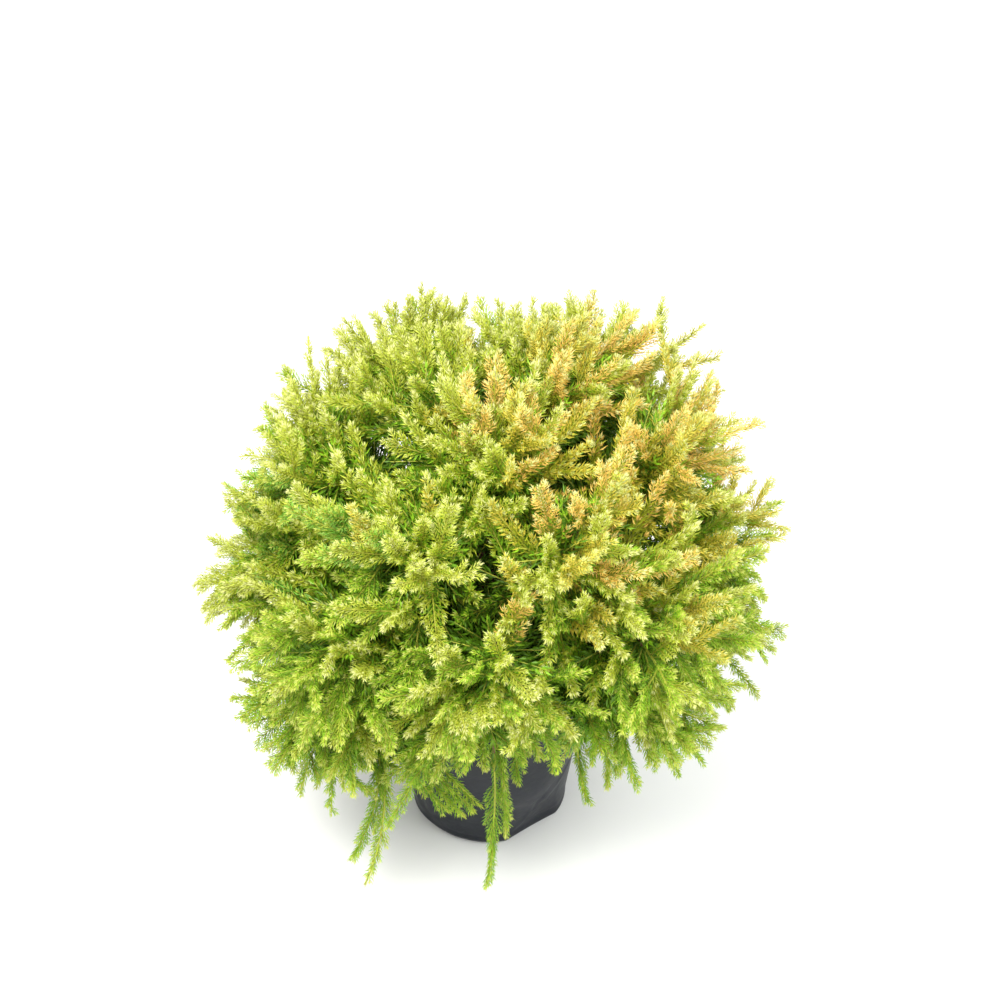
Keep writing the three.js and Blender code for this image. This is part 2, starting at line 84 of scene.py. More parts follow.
# The lip's section from below round the outside: what is added to the rim's radius, the way down from the
# top, and the share of the wall's give
LIP_SECTION = [
    (0.001, 0.012, 0.3), (0.004, 0.011, 0.2), (0.005, 0.009, 0.2), (0.005, 0.003, 0.2),
    (0.004, 0.001, 0.2), (0.002, 0.0, 0.2), (-0.001, 0.0, 0.2), (-POT_WALL, 0.002, 0.2),
]

# The wall is pushed in low down at the front right: azimuth and half width in degrees, height, half height
# and depth
DENT = (40, 28, 0.032, 0.040, 0.009)

# There the foot is pressed flat as well: azimuth and half angle of the flat, and the height where it fades
FOOT_FLAT = (38, 25, 0.024)

# Slow waves of the wall: how many round it, radians a metre up it, shift and height
WALL_WAVES = [(3, 22, 0.0, 0.0007), (5, -31, 1.3, 0.0006), (11, 60, 0.4, 0.0004)]

# The turned-under band at the foot: its edge, waves in it as number, shift and height, and depth and width of
# the groove over it and of the step down to it
BAND_EDGE = 0.014
BAND_WAVES = [(4, 0, 0.0012), (9, 1, 0.0007)]
BAND_GROOVE = (0.0011, 0.0016)
BAND_STEP = (0.0006, 0.0012)

# Creases of the soft wall: azimuth in degrees and height of the middle, slope, half length, half width and
# how far the wall stands out along it
CREASES = [
    (30, 0.034, 0.9, 0.022, 0.0035, 0.0022), (38, 0.046, 1.5, 0.020, 0.0030, -0.0020),
    (52, 0.040, -1.1, 0.024, 0.0035, 0.0020), (20, 0.060, -0.5, 0.030, 0.0050, -0.0014),
    (66, 0.074, 0.7, 0.030, 0.0045, 0.0016), (-14, 0.052, 2.2, 0.032, 0.0050, 0.0012),
    (-40, 0.030, 0.6, 0.022, 0.0040, -0.0016), (-75, 0.056, -1.2, 0.030, 0.0050, 0.0018),
    (-120, 0.040, 0.8, 0.026, 0.0045, -0.0018), (-150, 0.090, -1.6, 0.034, 0.0055, 0.0016),
    (165, 0.048, 1.0, 0.026, 0.0045, 0.0018), (125, 0.066, -0.8, 0.030, 0.0050, -0.0016),
    (98, 0.034, 1.4, 0.022, 0.0040, 0.0018),
]

# The potting mix: gap to the wall's outside, lowest level, how far its edge lies below the frame's top, the
# rise from there to the middle, and the radius of its top
MIX_SIDES = 120
MIX_GAP = 0.0045
MIX_FOOT = 0.0056
MIX_CROWN = 0.004
MIX_RISE = 0.0038
MIX_RADIUS = 0.114

# Chips: farthest from the middle, and least and most length, width and thickness
CHIPS_RADIUS = 0.107
CHIP_SIZES = ((0.003, 0.011), (0.0015, 0.004), (0.0006, 0.0016))

# The trunk: radius, what it loses to the tip, root flare and the height it dies away over, and buttresses.
# Boughs: radius at root and tip.
TRUNK_RADIUS = 0.0125
TRUNK_TAPER = 0.005
ROOT_FLARE = 0.008
FLARE_HEIGHT = 0.013
BUTTRESSES = 4
BUTTRESS_SHARE = 0.16
BOUGH_ROOT = 0.0052
BOUGH_TIP = 0.0026

# The crown: its centre and how far it reaches from there sideways, up and down. The trunk leans to one side.
# Limbs bend and fork at shares of the way.
CROWN_CENTRE = np.array([0.005, 0.0, 0.372])
CROWN_RADIUS = 0.333
CROWN_RISE = 0.296
CROWN_DROP = 0.300
TRUNK_LEAN = np.array([0.009, -0.005, 0.0])
TWIGS_FORK = 0.56
LIMB_BEND = 0.45

# Tiers of foliage masses: elevation and first azimuth in degrees, number of masses, height on the trunk that
# their boughs leave from, and the elevation at which they leave it.
TIERS = [
    (-31, -2, 7, 0.259, -4), (3, 2, 8, 0.295, 12), (37, 31, 6, 0.330, 30), (70, 10, 3, 0.361, 72),
]
TIER_STAGGER = 0.015
TIER_JITTER = 5

# Where the crown swells or falls back: azimuth, elevation, extra share of the reach, and half width in
# degrees
SWELLS = [
    (124, 38, 0.07, 27), (-155, 52, 0.06, 12), (-128, 40, 0.05, 14), (-98, 6, -0.08, 24),
    (-56, -36, 0.20, 24), (72, -30, 0.06, 22), (2, -49, -0.27, 34), (180, 62, -0.03, 16),
]

# Single shoots that stand out of the crown, then finer ones that give the outline its plumes: azimuth,
# elevation and distance of the tip from the crown's centre
SINGLE_SHOOTS = [
    (106, 21, 0.350), (96, 9, 0.338), (90, -23, 0.366), (78, -32, 0.344), (64, -43, 0.336), (50, -50, 0.302),
    (-90, -7, 0.350), (-103, 18, 0.308), (-72, -27, 0.338), (-56, -41, 0.356), (-47, -44, 0.354),
    (-86, -27, 0.332), (122, 37, 0.362), (146, 50, 0.328), (-156, 52, 0.326), (-132, 44, 0.324),
    (150, -46, 0.366), (-122, -44, 0.362), (112, 41, 0.332), (-118, 44, 0.328), (-74, -7, 0.320),
    (-112, 38, 0.318), (-108, 34, 0.300), (-119, 45, 0.304), (-123, 47, 0.306), (-145, 57, 0.312),
    (-160, 60, 0.301), (-173, 61, 0.297), (178, 61, 0.293), (163, 60, 0.300), (128, 50, 0.326),
    (122, 47, 0.337), (109, 37, 0.329), (93, 17, 0.312), (70, -12, 0.336), (66, -16, 0.323), (54, -28, 0.324),
    (53, -28, 0.334), (-28, -40, 0.335), (-56, -25, 0.341), (-67, -15, 0.321), (-79, 0, 0.338),
    (-89, 12, 0.296),
]

# Plumes that droop over the front of the pot: the mass that each leaves, then its bend and its tip as the
# ways right of the crown's centre and down the slant of the foliage's edge
FRONT_PLUMES = [
    (6, (-0.085, 0.222), (-0.011, 0.292)), (6, (-0.095, 0.226), (-0.020, 0.296)),
    (6, (-0.100, 0.236), (-0.031, 0.302)), (6, (-0.108, 0.246), (-0.050, 0.296)),
    (6, (-0.142, 0.167), (-0.087, 0.247)), (6, (-0.073, 0.155), (-0.031, 0.201)),
    (6, (-0.101, 0.278), (-0.148, 0.381)), (6, (-0.105, 0.266), (-0.166, 0.352)),
    (0, (0.014, 0.270), (-0.009, 0.386)), (0, (0.017, 0.247), (0.014, 0.324)),
    (0, (0.005, 0.201), (0.008, 0.247)), (0, (-0.004, 0.190), (-0.047, 0.237)),
    (0, (0.031, 0.207), (0.028, 0.259)), (0, (0.037, 0.184), (0.052, 0.236)),
    (1, (0.077, 0.196), (0.068, 0.250)), (1, (0.084, 0.226), (0.110, 0.284)),
    (1, (0.135, 0.207), (0.131, 0.267)),
]
FRONT_PLUME_LENGTH = 0.145

# Notches of the outline, where the crown falls back between plumes: azimuth, elevation and share of the reach
NOTCHES = [
    (-130, 52, 0.34), (103, 30, 0.25), (97, 23, 0.25), (92, 15, 0.25), (87, 8, 0.35), (80, -3, 0.20),
    (-99, 24, 0.20), (-88, 7, 0.20), (-82, 3, 0.20), (-66, -17, 0.40), (-61, -23, 0.40), (-47, -31, 0.20),
    (-36, -38, 0.20), (36, -46, 0.30), (47, -36, 0.25), (52, -30, 0.25), (56, -25, 0.20),
]
NOTCH_WIDTH = 6.0

# Each mass has the source's few twigs in a cap round its middle, and more fill the places between: how far
# they stray, the share of their even distance that they keep from those, and their lengths as shares of the
# reach
SOURCE_TWIGS = 3
TWIG_SPREAD = 24
TWIG_SHORTEST = 0.93
FILLING_STRAY = 0.035
FILLING_GAP = 0.62
FILLING_LENGTHS = (0.86, 0.98)

# A filling twig leaves its limb lower by a share for each degree from the mass's middle, and by chance. Twigs
# rise between the mass's middle and their own way by shares, then turn out.
LEAVES_LOWER = 0.028
LEAVES_CHANCE = (-0.05, 0.15)
LEAVES_LEAST = 0.3
OWN_TIP_SHARE = 0.5
TWIG_RISE = 0.62
TWIG_TURN = (0.2, 0.5)

# The skirt's edge is lifted over the front of the pot and slants there: how steeply the way to it falls, its
# distance from the crown's centre, its bow by the square of the way sideways, and how far short of it the
# filling stays
SKIRT_EDGE = -53
SKIRT_LIFT = 12
SKIRT_LIFT_WIDTH = 26
FRONT_SLANT = -55
FRONT_EDGE = 0.224
FRONT_BOW = 5.5
FRONT_MARGIN = 0.022

# Shoots below an elevation hang, fully so when lower by the range, and arch by a share of their length. Those
# at the top turn up by another. Smaller shoots do so by shares of their own.
HANG_BELOW = 12
HANG_RANGE = 60
TWIG_ARCH = 0.28
TWIG_LIFT = 0.50
SHOOT_HANG = 0.35
SHOOT_LIFT = 0.7

# How far shoots keep off the ground and the pot
LOWEST_TIP = 0.007
POT_CLEARANCE = 0.010

# Levels: twigs, whose outer part is a plume, their branches, which are plumes too, side shoots of plumes, and
# coarse shoots inside the crown
TWIG, BRANCH, SIDE, INNER = range(4)

# By level: the lean from the parent at its foot, how much less it is at its tip, in degrees, and how far they
# turn forwards; and the share of a shoot where its needles start, for a twig as a share of its bare part
LEANS = {BRANCH: (58, 10, 0.35), SIDE: (46, 8, 1.0), INNER: (62, 0, 0.25)}
STARTS = [0.4, 0.06, 0.04, 0.04]

# Branches stand between shares of the twig and are at most a share of what is left of it. A twig's plume
# starts between two shares, and a plume's side shoots end at one. Those are at least so many, the last
# shorter by a share, and the longest a share of the plume. Inner shoots have a length and keep within a share
# of the reach.
BRANCH_SPAN = (0.12, 0.76)
BRANCH_ROOM = 1.15
PLUME_STARTS = (0.3, 0.75)
PLUME_END = 0.95
FEWEST_SIDES = 5
SIDE_SHORTENING = 0.55
SIDE_LONGEST = 0.42
INNER_LENGTHS = (0.045, 0.080)
INNER_REACH = 0.88

# Branches and side shoots go out to a share of the crown's reach, or to a share of how far their twig or
# plume does where that is more
BRANCH_REACH = (0.98, 0.97)
SIDE_REACH = (1.03, 1.04)

# The share of a shoot where its stem and its open needles end
STEM_END = 0.98

# Steps of a sequence that keeps points evenly spread, and the turns round a stem from one shoot and from one
# needle to the next
EVEN_STEPS = (0.7548776662, 0.569840291)
GOLDEN_TURN = math.radians(137.508)
NEEDLE_TURN = math.radians(143.2)

# Needles of outer shoots are coarser where they lie deep: by a share of the inner ones' coarseness, from a
# share of the reach inwards over a range
DEEP_COARSENESS = 0.6
DEEP_FROM = 0.80
DEEP_RANGE = 0.15

# From a share of a shoot on, its needles close up and shorten, and a small rosette ends it. Side shoots have
# smaller needles.
CLOSING_FROM = 0.6
CLOSING_LEAN = 0.30
CLOSING_SIZE = 0.42
ROSETTE_FROM = 0.94
ROSETTE_SIZE = 0.52
ROSETTE_LEANS = (12, 36)
SIDE_NEEDLE_SIZE = 0.90

# A needle's widest place, its bow there and how far its tip turns in, as shares of its length
BELLY_PLACE = 0.42
BELLY_BOW = 0.06
TIP_TURN = 0.15

# The shade of a needle, from 0 inside to 1 at the tips: its least, its gain up the shoot and the plume, its
# loss with depth below a share of the reach, its chance, and what the rosette gains and inner shoots lose.
# The loss with depth and the inner shoots' loss are partly the greener older foliage inside the crown and
# partly painted shade for the shadowed gaps between plumes.
SHADE_LEAST = 0.06
SHADE_GAIN = 0.82
AGE_AND_SHADE_LOSS = 1.9
SHADE_DEPTH = 0.89
SHADE_CHANCE = 0.08
SHADE_EXTRA = 0.25
SHADE_STEPS = [0.10, 0.37, 0.63, 0.84]

# The slot and the plain base colour of each kind of needle, from the shade inside the crown to the palest
# tips
NEEDLE_COLOURS = {
    "deep": ("foliage_green", (0.108, 0.240, 0.005)),
    "green": ("foliage_green", (0.235, 0.450, 0.013)),
    "emerald": ("foliage_green", (0.215, 0.490, 0.042)),
    "mint": ("foliage_green", (0.330, 0.580, 0.085)),
    "lime": ("foliage_lime", (0.390, 0.605, 0.030)),
    "olive": ("foliage_lime", (0.440, 0.500, 0.024)),
    "yellow": ("foliage_yellow", (0.550, 0.635, 0.068)),
    "pale": ("foliage_yellow", (0.640, 0.690, 0.165)),
    "cream": ("foliage_yellow", (0.715, 0.728, 0.300)),
    "gold": ("foliage_yellow", (0.640, 0.540, 0.048)),
    "amber": ("foliage_yellow", (0.740, 0.630, 0.090)),
    "apricot": ("foliage_apricot", (0.880, 0.605, 0.128)),
    "peach": ("foliage_apricot", (0.870, 0.745, 0.275)),
}

# The colours of a spray from the inside to its tips, by tint
TINTS = {
    "green": ("deep", "green", "green", "lime", "yellow"),
    "lime": ("deep", "green", "lime", "yellow", "pale"),
    "yellow": ("green", "olive", "yellow", "pale", "cream"),
    "golden": ("olive", "gold", "amber", "pale", "cream"),
    "apricot": ("olive", "apricot", "apricot", "peach", "cream"),
    "emerald": ("deep", "emerald", "mint", "yellow", "pale"),
}
TINT_NAMES = list(TINTS)

# The green and the yellow tint by elevation, and how far chance blurs it
GREEN_BELOW = -38
YELLOW_ABOVE = 8
TINT_BLUR = 24

# Patches of a tint: tint, azimuth, elevation, half width in degrees, and the share of sprays in it
TINT_PATCHES = [
    ("golden", 66, 52, 46, 0.70), ("golden", 102, 16, 18, 0.90), ("apricot", 72, 52, 38, 0.52),
    ("apricot", 98, 22, 18, 0.40), ("apricot", -55, 76, 9, 0.4), ("emerald", -50, 32, 12, 0.45),
    ("emerald", -85, 14, 14, 0.45), ("emerald", 20, -12, 10, 0.25),
]

# The wood and the green of twigs: shares of the length, radius at the foot, what it loses to the tip, and
# sides. Finer stems by level: rings, radius at foot and tip. The side shoots come last, in a piece of their
# own.
WOOD = (np.linspace(0, 0.34, 6), 0.0024, 0.0018, 6)
GREEN = (np.linspace(0.33, 0.995, 8), 0.0021, 0.0015, 5)
STEM_RADII = ((BRANCH, 4, 0.0014, 0.0005), (INNER, 2, 0.0010, 0.0005), (SIDE, 2, 0.0008, 0.0004))

# Faces of a needle's four corners, the most needles in a piece, and seeds
NEEDLE_FACES = np.array([[0, 2, 3], [0, 3, 1]])
PIECE_LIMIT = 92000
BARK_SEED = 11
SHOOT_SEED = 2
CHIP_SEED = 23


def towards(azimuth, elevation):
    """The unit direction at an azimuth from the front, turning to the right, and an elevation, in degrees."""
    a = np.radians(azimuth)
    e = np.radians(elevation)
    return np.stack([np.sin(a) * np.cos(e), -np.cos(a) * np.cos(e), np.sin(e) + 0 * a], axis=-1)


def unit(v):
    return v / np.linalg.norm(v, axis=-1, keepdims=True)


def norm(v):
    return np.linalg.norm(v, axis=-1)


def dot(a, b):
    return np.sum(a * b, axis=-1, keepdims=True)


def azimuth_of(d):
    return np.degrees(np.arctan2(d[..., 0], -d[..., 1]))


def elevation_of(d):
    return np.degrees(np.arcsin(d[..., 2] / norm(d)))


def apart(a, b):
    """The angle between unit directions, in degrees."""
    return np.degrees(np.arccos(np.clip(np.sum(a * b, axis=-1), -1, 1)))


def across(d):
    """Two unit vectors square to each direction: one level, or square to X where the direction is steep."""
    helper = np.where(np.abs(d[..., 2:]) > 0.9, [1.0, 0.0, 0.0], [0.0, 0.0, 1.0])
    u = unit(np.cross(helper, d))
    return u, unit(np.cross(d, u))


def chance(key):
    """A repeatable number from 0 to 1 for each whole-number key: three rounds of multiplying and folding
    bits."""
    low = np.uint64(0xFFFFFFFF)
    h = ((np.asarray(key, dtype=np.int64) + 1013).astype(np.uint64) * np.uint64(2654435761)) & low
    h = ((h ^ (h >> np.uint64(15))) * np.uint64(2246822519)) & low
    h = ((h ^ (h >> np.uint64(13))) * np.uint64(3266489917)) & low
    return (h ^ (h >> np.uint64(16))) / 4294967296


def reach(d):
    """How far the crown reaches in each direction: an egg of two half ellipsoids, swollen by rounded bumps
    whose height falls off with the square of the angle from their middle."""
    tall = np.where(d[..., 2] > 0, CROWN_RISE, CROWN_DROP)
    level = np.hypot(d[..., 0], d[..., 1])
    share = np.ones(d.shape[:-1])
    for azimuth, elevation, extra, half_width in SWELLS:
        share += extra * np.exp(-((apart(d, towards(azimuth, elevation)) / half_width) ** 2))
    return share / np.hypot(level / CROWN_RADIUS, d[..., 2] / tall)


def hang_of(d):
    return np.clip((HANG_BELOW - elevation_of(d)) / HANG_RANGE, -0.5, 1)


def points_along(curves, share):
    """Points on quadratic curves: start, bend and tip weighted by (1-t)², 2t(1-t) and t². Curves are n by 3
    points, and shares n by k."""
    t = share[..., None]
    start, bend, tip = (curves[:, None, i] for i in range(3))
    return (1 - t) ** 2 * start + 2 * t * (1 - t) * bend + t**2 * tip


def headings_along(curves, share):
    """Unit directions of the same curves: their slope, 2(1-t)(bend-start) + 2t(tip-bend)."""
    t = share[..., None]
    start, bend, tip = (curves[:, None, i] for i in range(3))
    return unit((1 - t) * (bend - start) + t * (tip - bend))


def frames_along(curves, share):
    """The heading at each share and two directions square to it, held from turning along the curve."""
    heading = headings_along(curves, share)
    first = across(headings_along(curves, np.zeros((len(curves), 1))))[0]
    u = unit(first - dot(first, heading) * heading)
    return heading, u, np.cross(heading, u)


def lengths_of(curves):
    """Lengths of the curves: the mean of the chord and of the way by the bend."""
    start, bend, tip = (curves[:, i] for i in range(3))
    return (norm(tip - start) + (norm(bend - start) + norm(tip - bend))) / 2


def round_angles(sides):
    return np.arange(sides) * 2 * np.pi / sides


def round_azimuths(sides):
    """The azimuths, in degrees from the front, of points at even angles from X."""
    angle = round_angles(sides)
    return np.degrees(np.arctan2(np.cos(angle), -np.sin(angle)))


def polar(radius, angle, height=0.0):
    """Points at radii and angles round the Z axis and at heights."""
    return np.stack(np.broadcast_arrays(radius * np.cos(angle), radius * np.sin(angle), height), axis=-1)


def ring_walls(at):
    """Faces between the rings of a grid of point numbers, whose last axis goes once round."""
    after = np.roll(at, -1, axis=-1)
    corners = (at[..., :-1, :], after[..., :-1, :], after[..., 1:, :], at[..., 1:, :])
    return np.stack(corners, axis=-1).reshape(-1, 4)


def lathed(radius, height, under, over):
    """A skin round the Z axis from the radius and height of each ring at each angle, closed by fans to points
    on the axis at two heights."""
    angle = round_angles(radius.shape[1])
    rings = polar(radius, angle, height)
    at = np.arange(radius.size).reshape(radius.shape)
    after = np.roll(at, -1, axis=1)
    fans = [
        np.stack([np.full(len(angle), at.size), after[0], at[0]], axis=-1),
        np.stack([np.full(len(angle), at.size + 1), at[-1], after[-1]], axis=-1),
    ]
    return np.concatenate([rings.reshape(-1, 3), [[0, 0, under], [0, 0, over]]]), [ring_walls(at), *fans]


def trunk_middle(height):
    """The middle of the trunk: it leans by half a sine wave and comes back."""
    up = np.clip((height - SOIL_TOP) / (TRUNK_TOP - SOIL_TOP), 0, 1)
    middle = np.sin(np.pi * up)[..., None] * TRUNK_LEAN
    middle[..., 2] = height
    return middle


def masses_of_crown():
    """Direction, azimuth, height of the bough's foot and rise of each mass, tier by tier, as in the
    source."""
    azimuths, middles, feet, rises = [], [], [], []
    for tier, (elevation, first, count, leaves, rise) in enumerate(TIERS):
        k = np.arange(count)
        number = len(feet) + k
        azimuths.extend(first + 360 * k / count + TIER_JITTER * (chance(number * 7 + 1) - 0.5))
        middles.extend(towards(azimuths[-count:], elevation + TIER_JITTER * (chance(number * 7 + 2) - 0.5)))
        feet.extend(leaves + (TIER_STAGGER * (k % 2 - 0.5) if tier < len(TIERS) - 1 else 0 * k))
        rises.extend([rise] * count)
    return [np.array(rows) for rows in (azimuths, middles, feet, rises)]


AZIMUTHS, MIDDLES, FEET, RISES = masses_of_crown()
MASS_COUNT = len(MIDDLES)
FOLIAGE_NODES = [f"foliage_{n + 1:02d}" for n in range(MASS_COUNT)]
BOUGH_NODES = [f"bough_{n + 1:02d}" for n in range(MASS_COUNT)]


def limb_curves():
    """The limb of each mass, from inside the trunk to the point where its twigs fork."""
    start = trunk_middle(FEET)
    fork = CROWN_CENTRE + MIDDLES * (TWIGS_FORK * reach(MIDDLES))[:, None]
    bend = start + towards(AZIMUTHS, RISES) * (LIMB_BEND * norm(fork - start))[:, None]
    return np.stack([start, bend, fork], axis=1)


def owners_of(d):
    """The mass whose middle is nearest to each direction."""
    return np.argmin(apart(d[:, None], MIDDLES[None]), axis=1)


def even_directions(count):
    """Directions spread evenly over a ball: even steps of height, each a golden turn round from the last."""
    k = np.arange(count)
    height = 1 - (2 * k + 1) / count
    flat = np.sqrt(1 - height**2)
    return np.stack([flat * np.sin(k * GOLDEN_TURN), -flat * np.cos(k * GOLDEN_TURN), height], axis=-1)


def skirt_edge(d):
    """The lowest elevation that twigs reach at each direction's azimuth."""
    return SKIRT_EDGE + SKIRT_LIFT * np.exp(-((azimuth_of(d) / SKIRT_LIFT_WIDTH) ** 2))


def full_reach(d):
    """The crown's reach with the notches of its outline, each a rounded dip about its direction."""
    azimuth, elevation, depth = np.array(NOTCHES).T
    dips = depth * np.exp(-((apart(d[:, None], towards(azimuth, elevation)) / NOTCH_WIDTH) ** 2))
    return reach(d) * (1 - dips.max(axis=1))


def source_twigs():
    """Directions and lengths of the source's twigs, in a cap round the mass's middle, the angle growing with
    the square root of an even sequence, and of the shoots that stand out or give the outline its plumes."""
    j = np.tile(np.arange(SOURCE_TWIGS), MASS_COUNT)
    mass = np.repeat(np.arange(MASS_COUNT), SOURCE_TWIGS)
    out = np.radians(TWIG_SPREAD * np.sqrt((0.5 + j * EVEN_STEPS[0]) % 1))[:, None]
    turn = (2 * np.pi * ((chance(mass * 31) + j * EVEN_STEPS[1]) % 1))[:, None]
    u, v = across(MIDDLES[mass])
    d = MIDDLES[mass] * np.cos(out) + np.sin(out) * (u * np.cos(turn) + v * np.sin(turn))
    kept = (owners_of(d) == mass) & (elevation_of(d) >= skirt_edge(d))
    length = reach(d) * (1 + (TWIG_SHORTEST - 1) * chance(mass * 61 + j))
    azimuth, elevation, distance = np.array(SINGLE_SHOOTS).T
    return np.concatenate([d[kept], towards(azimuth, elevation)]), np.concatenate([length[kept], distance])


def filling_twigs(rng, count, first):
    """Directions and lengths of the twigs of a full ball that keep clear of the first ones and of the skirt's
    edge."""
    d = even_directions(count)
    d = unit(d + rng.normal(0, FILLING_STRAY, d.shape))
    gap = FILLING_GAP * math.degrees(math.sqrt(4 * math.pi / count))
    clear = (elevation_of(d) >= skirt_edge(d)) & (apart(d[:, None], first[None]).min(axis=1) > gap)
    d = d[clear & (over_front(CROWN_CENTRE + d * reach(d)[:, None]) < -FRONT_MARGIN)]
    return d, full_reach(d) * rng.uniform(*FILLING_LENGTHS, len(d))


def twig_curves(rng, filling):
    """Twigs that grow on from the limbs: curves and masses. Each rises along its mass's middle, then turns
    outwards. The source's leave at the fork, and filling ones farther down."""
    first, first_length = source_twigs()
    more, more_length = filling_twigs(rng, filling, first)
    d = np.concatenate([first, more])
    mass = owners_of(d)
    leaves = 1 - LEAVES_LOWER * apart(d, MIDDLES[mass]) + rng.uniform(*LEAVES_CHANCE, len(d))
    leaves = np.where(np.arange(len(d)) < len(first), 1, np.clip(leaves, LEAVES_LEAST, 1))
    start = points_along(limb_curves()[mass], leaves[:, None])[:, 0]
    tip = CROWN_CENTRE + d * np.concatenate([first_length, more_length])[:, None]
    way = tip - start
    axis = unit(MIDDLES[mass] + OWN_TIP_SHARE * d)
    rising = dot(way, axis) * axis
    bend = start + TWIG_RISE * rising + rng.uniform(*TWIG_TURN, (len(d), 1)) * (way - rising)
    hang = hang_of(d)
    bend[:, 2] += hang * np.where(hang > 0, TWIG_ARCH, TWIG_LIFT) * norm(way)
    front, front_mass = front_plumes()
    return np.concatenate([np.stack([start, bend, tip], axis=1), front]), np.concatenate([mass, front_mass])


def front_plumes():
    """The twigs of the plumes over the front of the pot, from the forks of their limbs, and their masses."""
    mass = np.array([row[0] for row in FRONT_PLUMES])
    ways = np.array([row[1:] for row in FRONT_PLUMES])
    points = CROWN_CENTRE + ways[..., :1] * towards(90.0, 0.0) + ways[..., 1:] * towards(0.0, FRONT_SLANT)
    return np.concatenate([limb_curves()[mass, 2:], points], axis=1), mass


def reach_share(points):
    """How far out points lie, as a share of the crown's reach there."""
    out = points - CROWN_CENTRE
    return norm(out) / full_reach(unit(out))


def within_reach(curves, most):
    """Curves whose tips stand out of the crown by more than a share of its reach are drawn in to it, bend and
    all."""
    out = curves - CROWN_CENTRE
    scale = np.minimum(1, most / reach_share(curves[:, 2]))[:, None]
    drawn = curves.copy()
    drawn[:, 2] = CROWN_CENTRE + out[:, 2] * scale
    drawn[:, 1] = CROWN_CENTRE + out[:, 1] * (1 + scale) / 2
    return drawn


def is_free(points):
    """Whether points keep clear of the pot and the ground."""
    x, y, z = points[..., 0], points[..., 1], points[..., 2]
    wall = POT_FOOT_RADIUS + (POT_RIM_RADIUS - POT_FOOT_RADIUS) * np.minimum(z / POT_TOP, 1)
    beside = np.hypot(x, y) > wall + LIP_RADIUS - POT_RIM_RADIUS + POT_CLEARANCE
    return (beside | (z > POT_TOP + POT_CLEARANCE)) & (z > LOWEST_TIP)


def over_front(points):
    """How far points lie beyond the slanting edge of the foliage over the front of the pot."""
    out = points - CROWN_CENTRE
    return out @ towards(0.0, FRONT_SLANT) - FRONT_EDGE - FRONT_BOW * out[..., 0] ** 2


def round_stem(rng, parents, shares):
    """Feet, headings and ways outwards of shoots that stand round their parents, each a golden turn from the
    last."""
    n, k = shares.shape
    heading, u, v = frames_along(parents, shares)
    turn = np.arange(k) * GOLDEN_TURN + rng.uniform(0, 2 * np.pi, (n, 1)) + rng.normal(0, 0.25, (n, k))
    return points_along(parents, shares), heading, np.cos(turn)[..., None] * u + np.sin(turn)[..., None] * v


def either_side(rng, parents, shares):
    """The same for shoots that stand left and right of their parents in turn, in a feather that faces
    outwards."""
    n, k = shares.shape
    foot = points_along(parents, shares)
    heading = headings_along(parents, shares)
    side = unit(np.cross(heading, unit(foot - CROWN_CENTRE) + 0.3 * across(heading)[0]))
    turn = np.pi * (np.arange(k) % 2)[None] + rng.normal(0, 0.45, (n, k))
    face = np.cross(side, heading)
    return foot, heading, unit(np.cos(turn)[..., None] * side + (np.sin(turn)[..., None] + 0.25) * face)


def side_shoots(rng, placed, lengths, level, steps):
    """Shoots of a level at feet with headings and ways outwards. Each leaves at a lean from its parent's
    heading, bends forwards, and hangs or turns up as it does there. Steps are how far along the parent they
    stand."""
    foot, heading, outwards = placed
    lean, less, forwards = LEANS[level]
    angle = (np.radians(lean - less * steps) + rng.normal(0, 0.1, lengths.shape))[..., None]
    leaving = np.cos(angle) * heading + np.sin(angle) * outwards
    bend = foot + leaving * (0.5 * lengths)[..., None]
    hang = hang_of(unit(foot - CROWN_CENTRE))
    arriving = unit(leaving + forwards * heading)
    arriving[..., 2] -= np.where(hang > 0, SHOOT_HANG, SHOOT_LIFT) * hang
    tip = bend + unit(arriving) * (0.5 * lengths)[..., None]
    return np.stack([foot, bend, tip], axis=2).reshape(-1, 3, 3)


def steps_between(rng, n, count, low, high, jitter):
    """Shares from low to high at even steps for n parents, each moved a little by chance, and the steps from
    0 to 1."""
    steps = (np.arange(count) + 0.5) / count
    return low + (high - low) * steps[None] + rng.uniform(-jitter, jitter, (n, count)), steps[None]


def plume_shoots(rng, plumes, low, values):
    """Side shoots of plumes from a share of their length on, at a pitch: the longest low down, shortening to
    the tip. Returns their curves, the plume of each and how far up the plume it stands, from 0 to 1."""
    long = lengths_of(plumes)[:, None]
    count = np.maximum(FEWEST_SIDES, np.round(long * (PLUME_END - low) / values.side_pitch))
    steps = (np.arange(int(count.max())) + 0.5) / count
    there = (steps < 1).ravel()
    steps = np.minimum(steps, 1)
    shares = low + (PLUME_END - low) * steps + rng.uniform(-0.01, 0.01, steps.shape)
    lengths = values.side_length * (1 - SIDE_SHORTENING * steps**2) * rng.uniform(0.85, 1.15, steps.shape)
    lengths = np.minimum(lengths * rng.uniform(0.6, 1.15, (len(plumes), 1)), SIDE_LONGEST * long)
    curves = side_shoots(rng, either_side(rng, plumes, shares), lengths, SIDE, steps)[there]
    plume = np.repeat(np.arange(len(plumes)), steps.shape[1])[there]
    most = np.maximum(SIDE_REACH[0], SIDE_REACH[1] * reach_share(plumes[:, 2]))
    return within_reach(curves, most[plume]), plume, steps.ravel()[there]


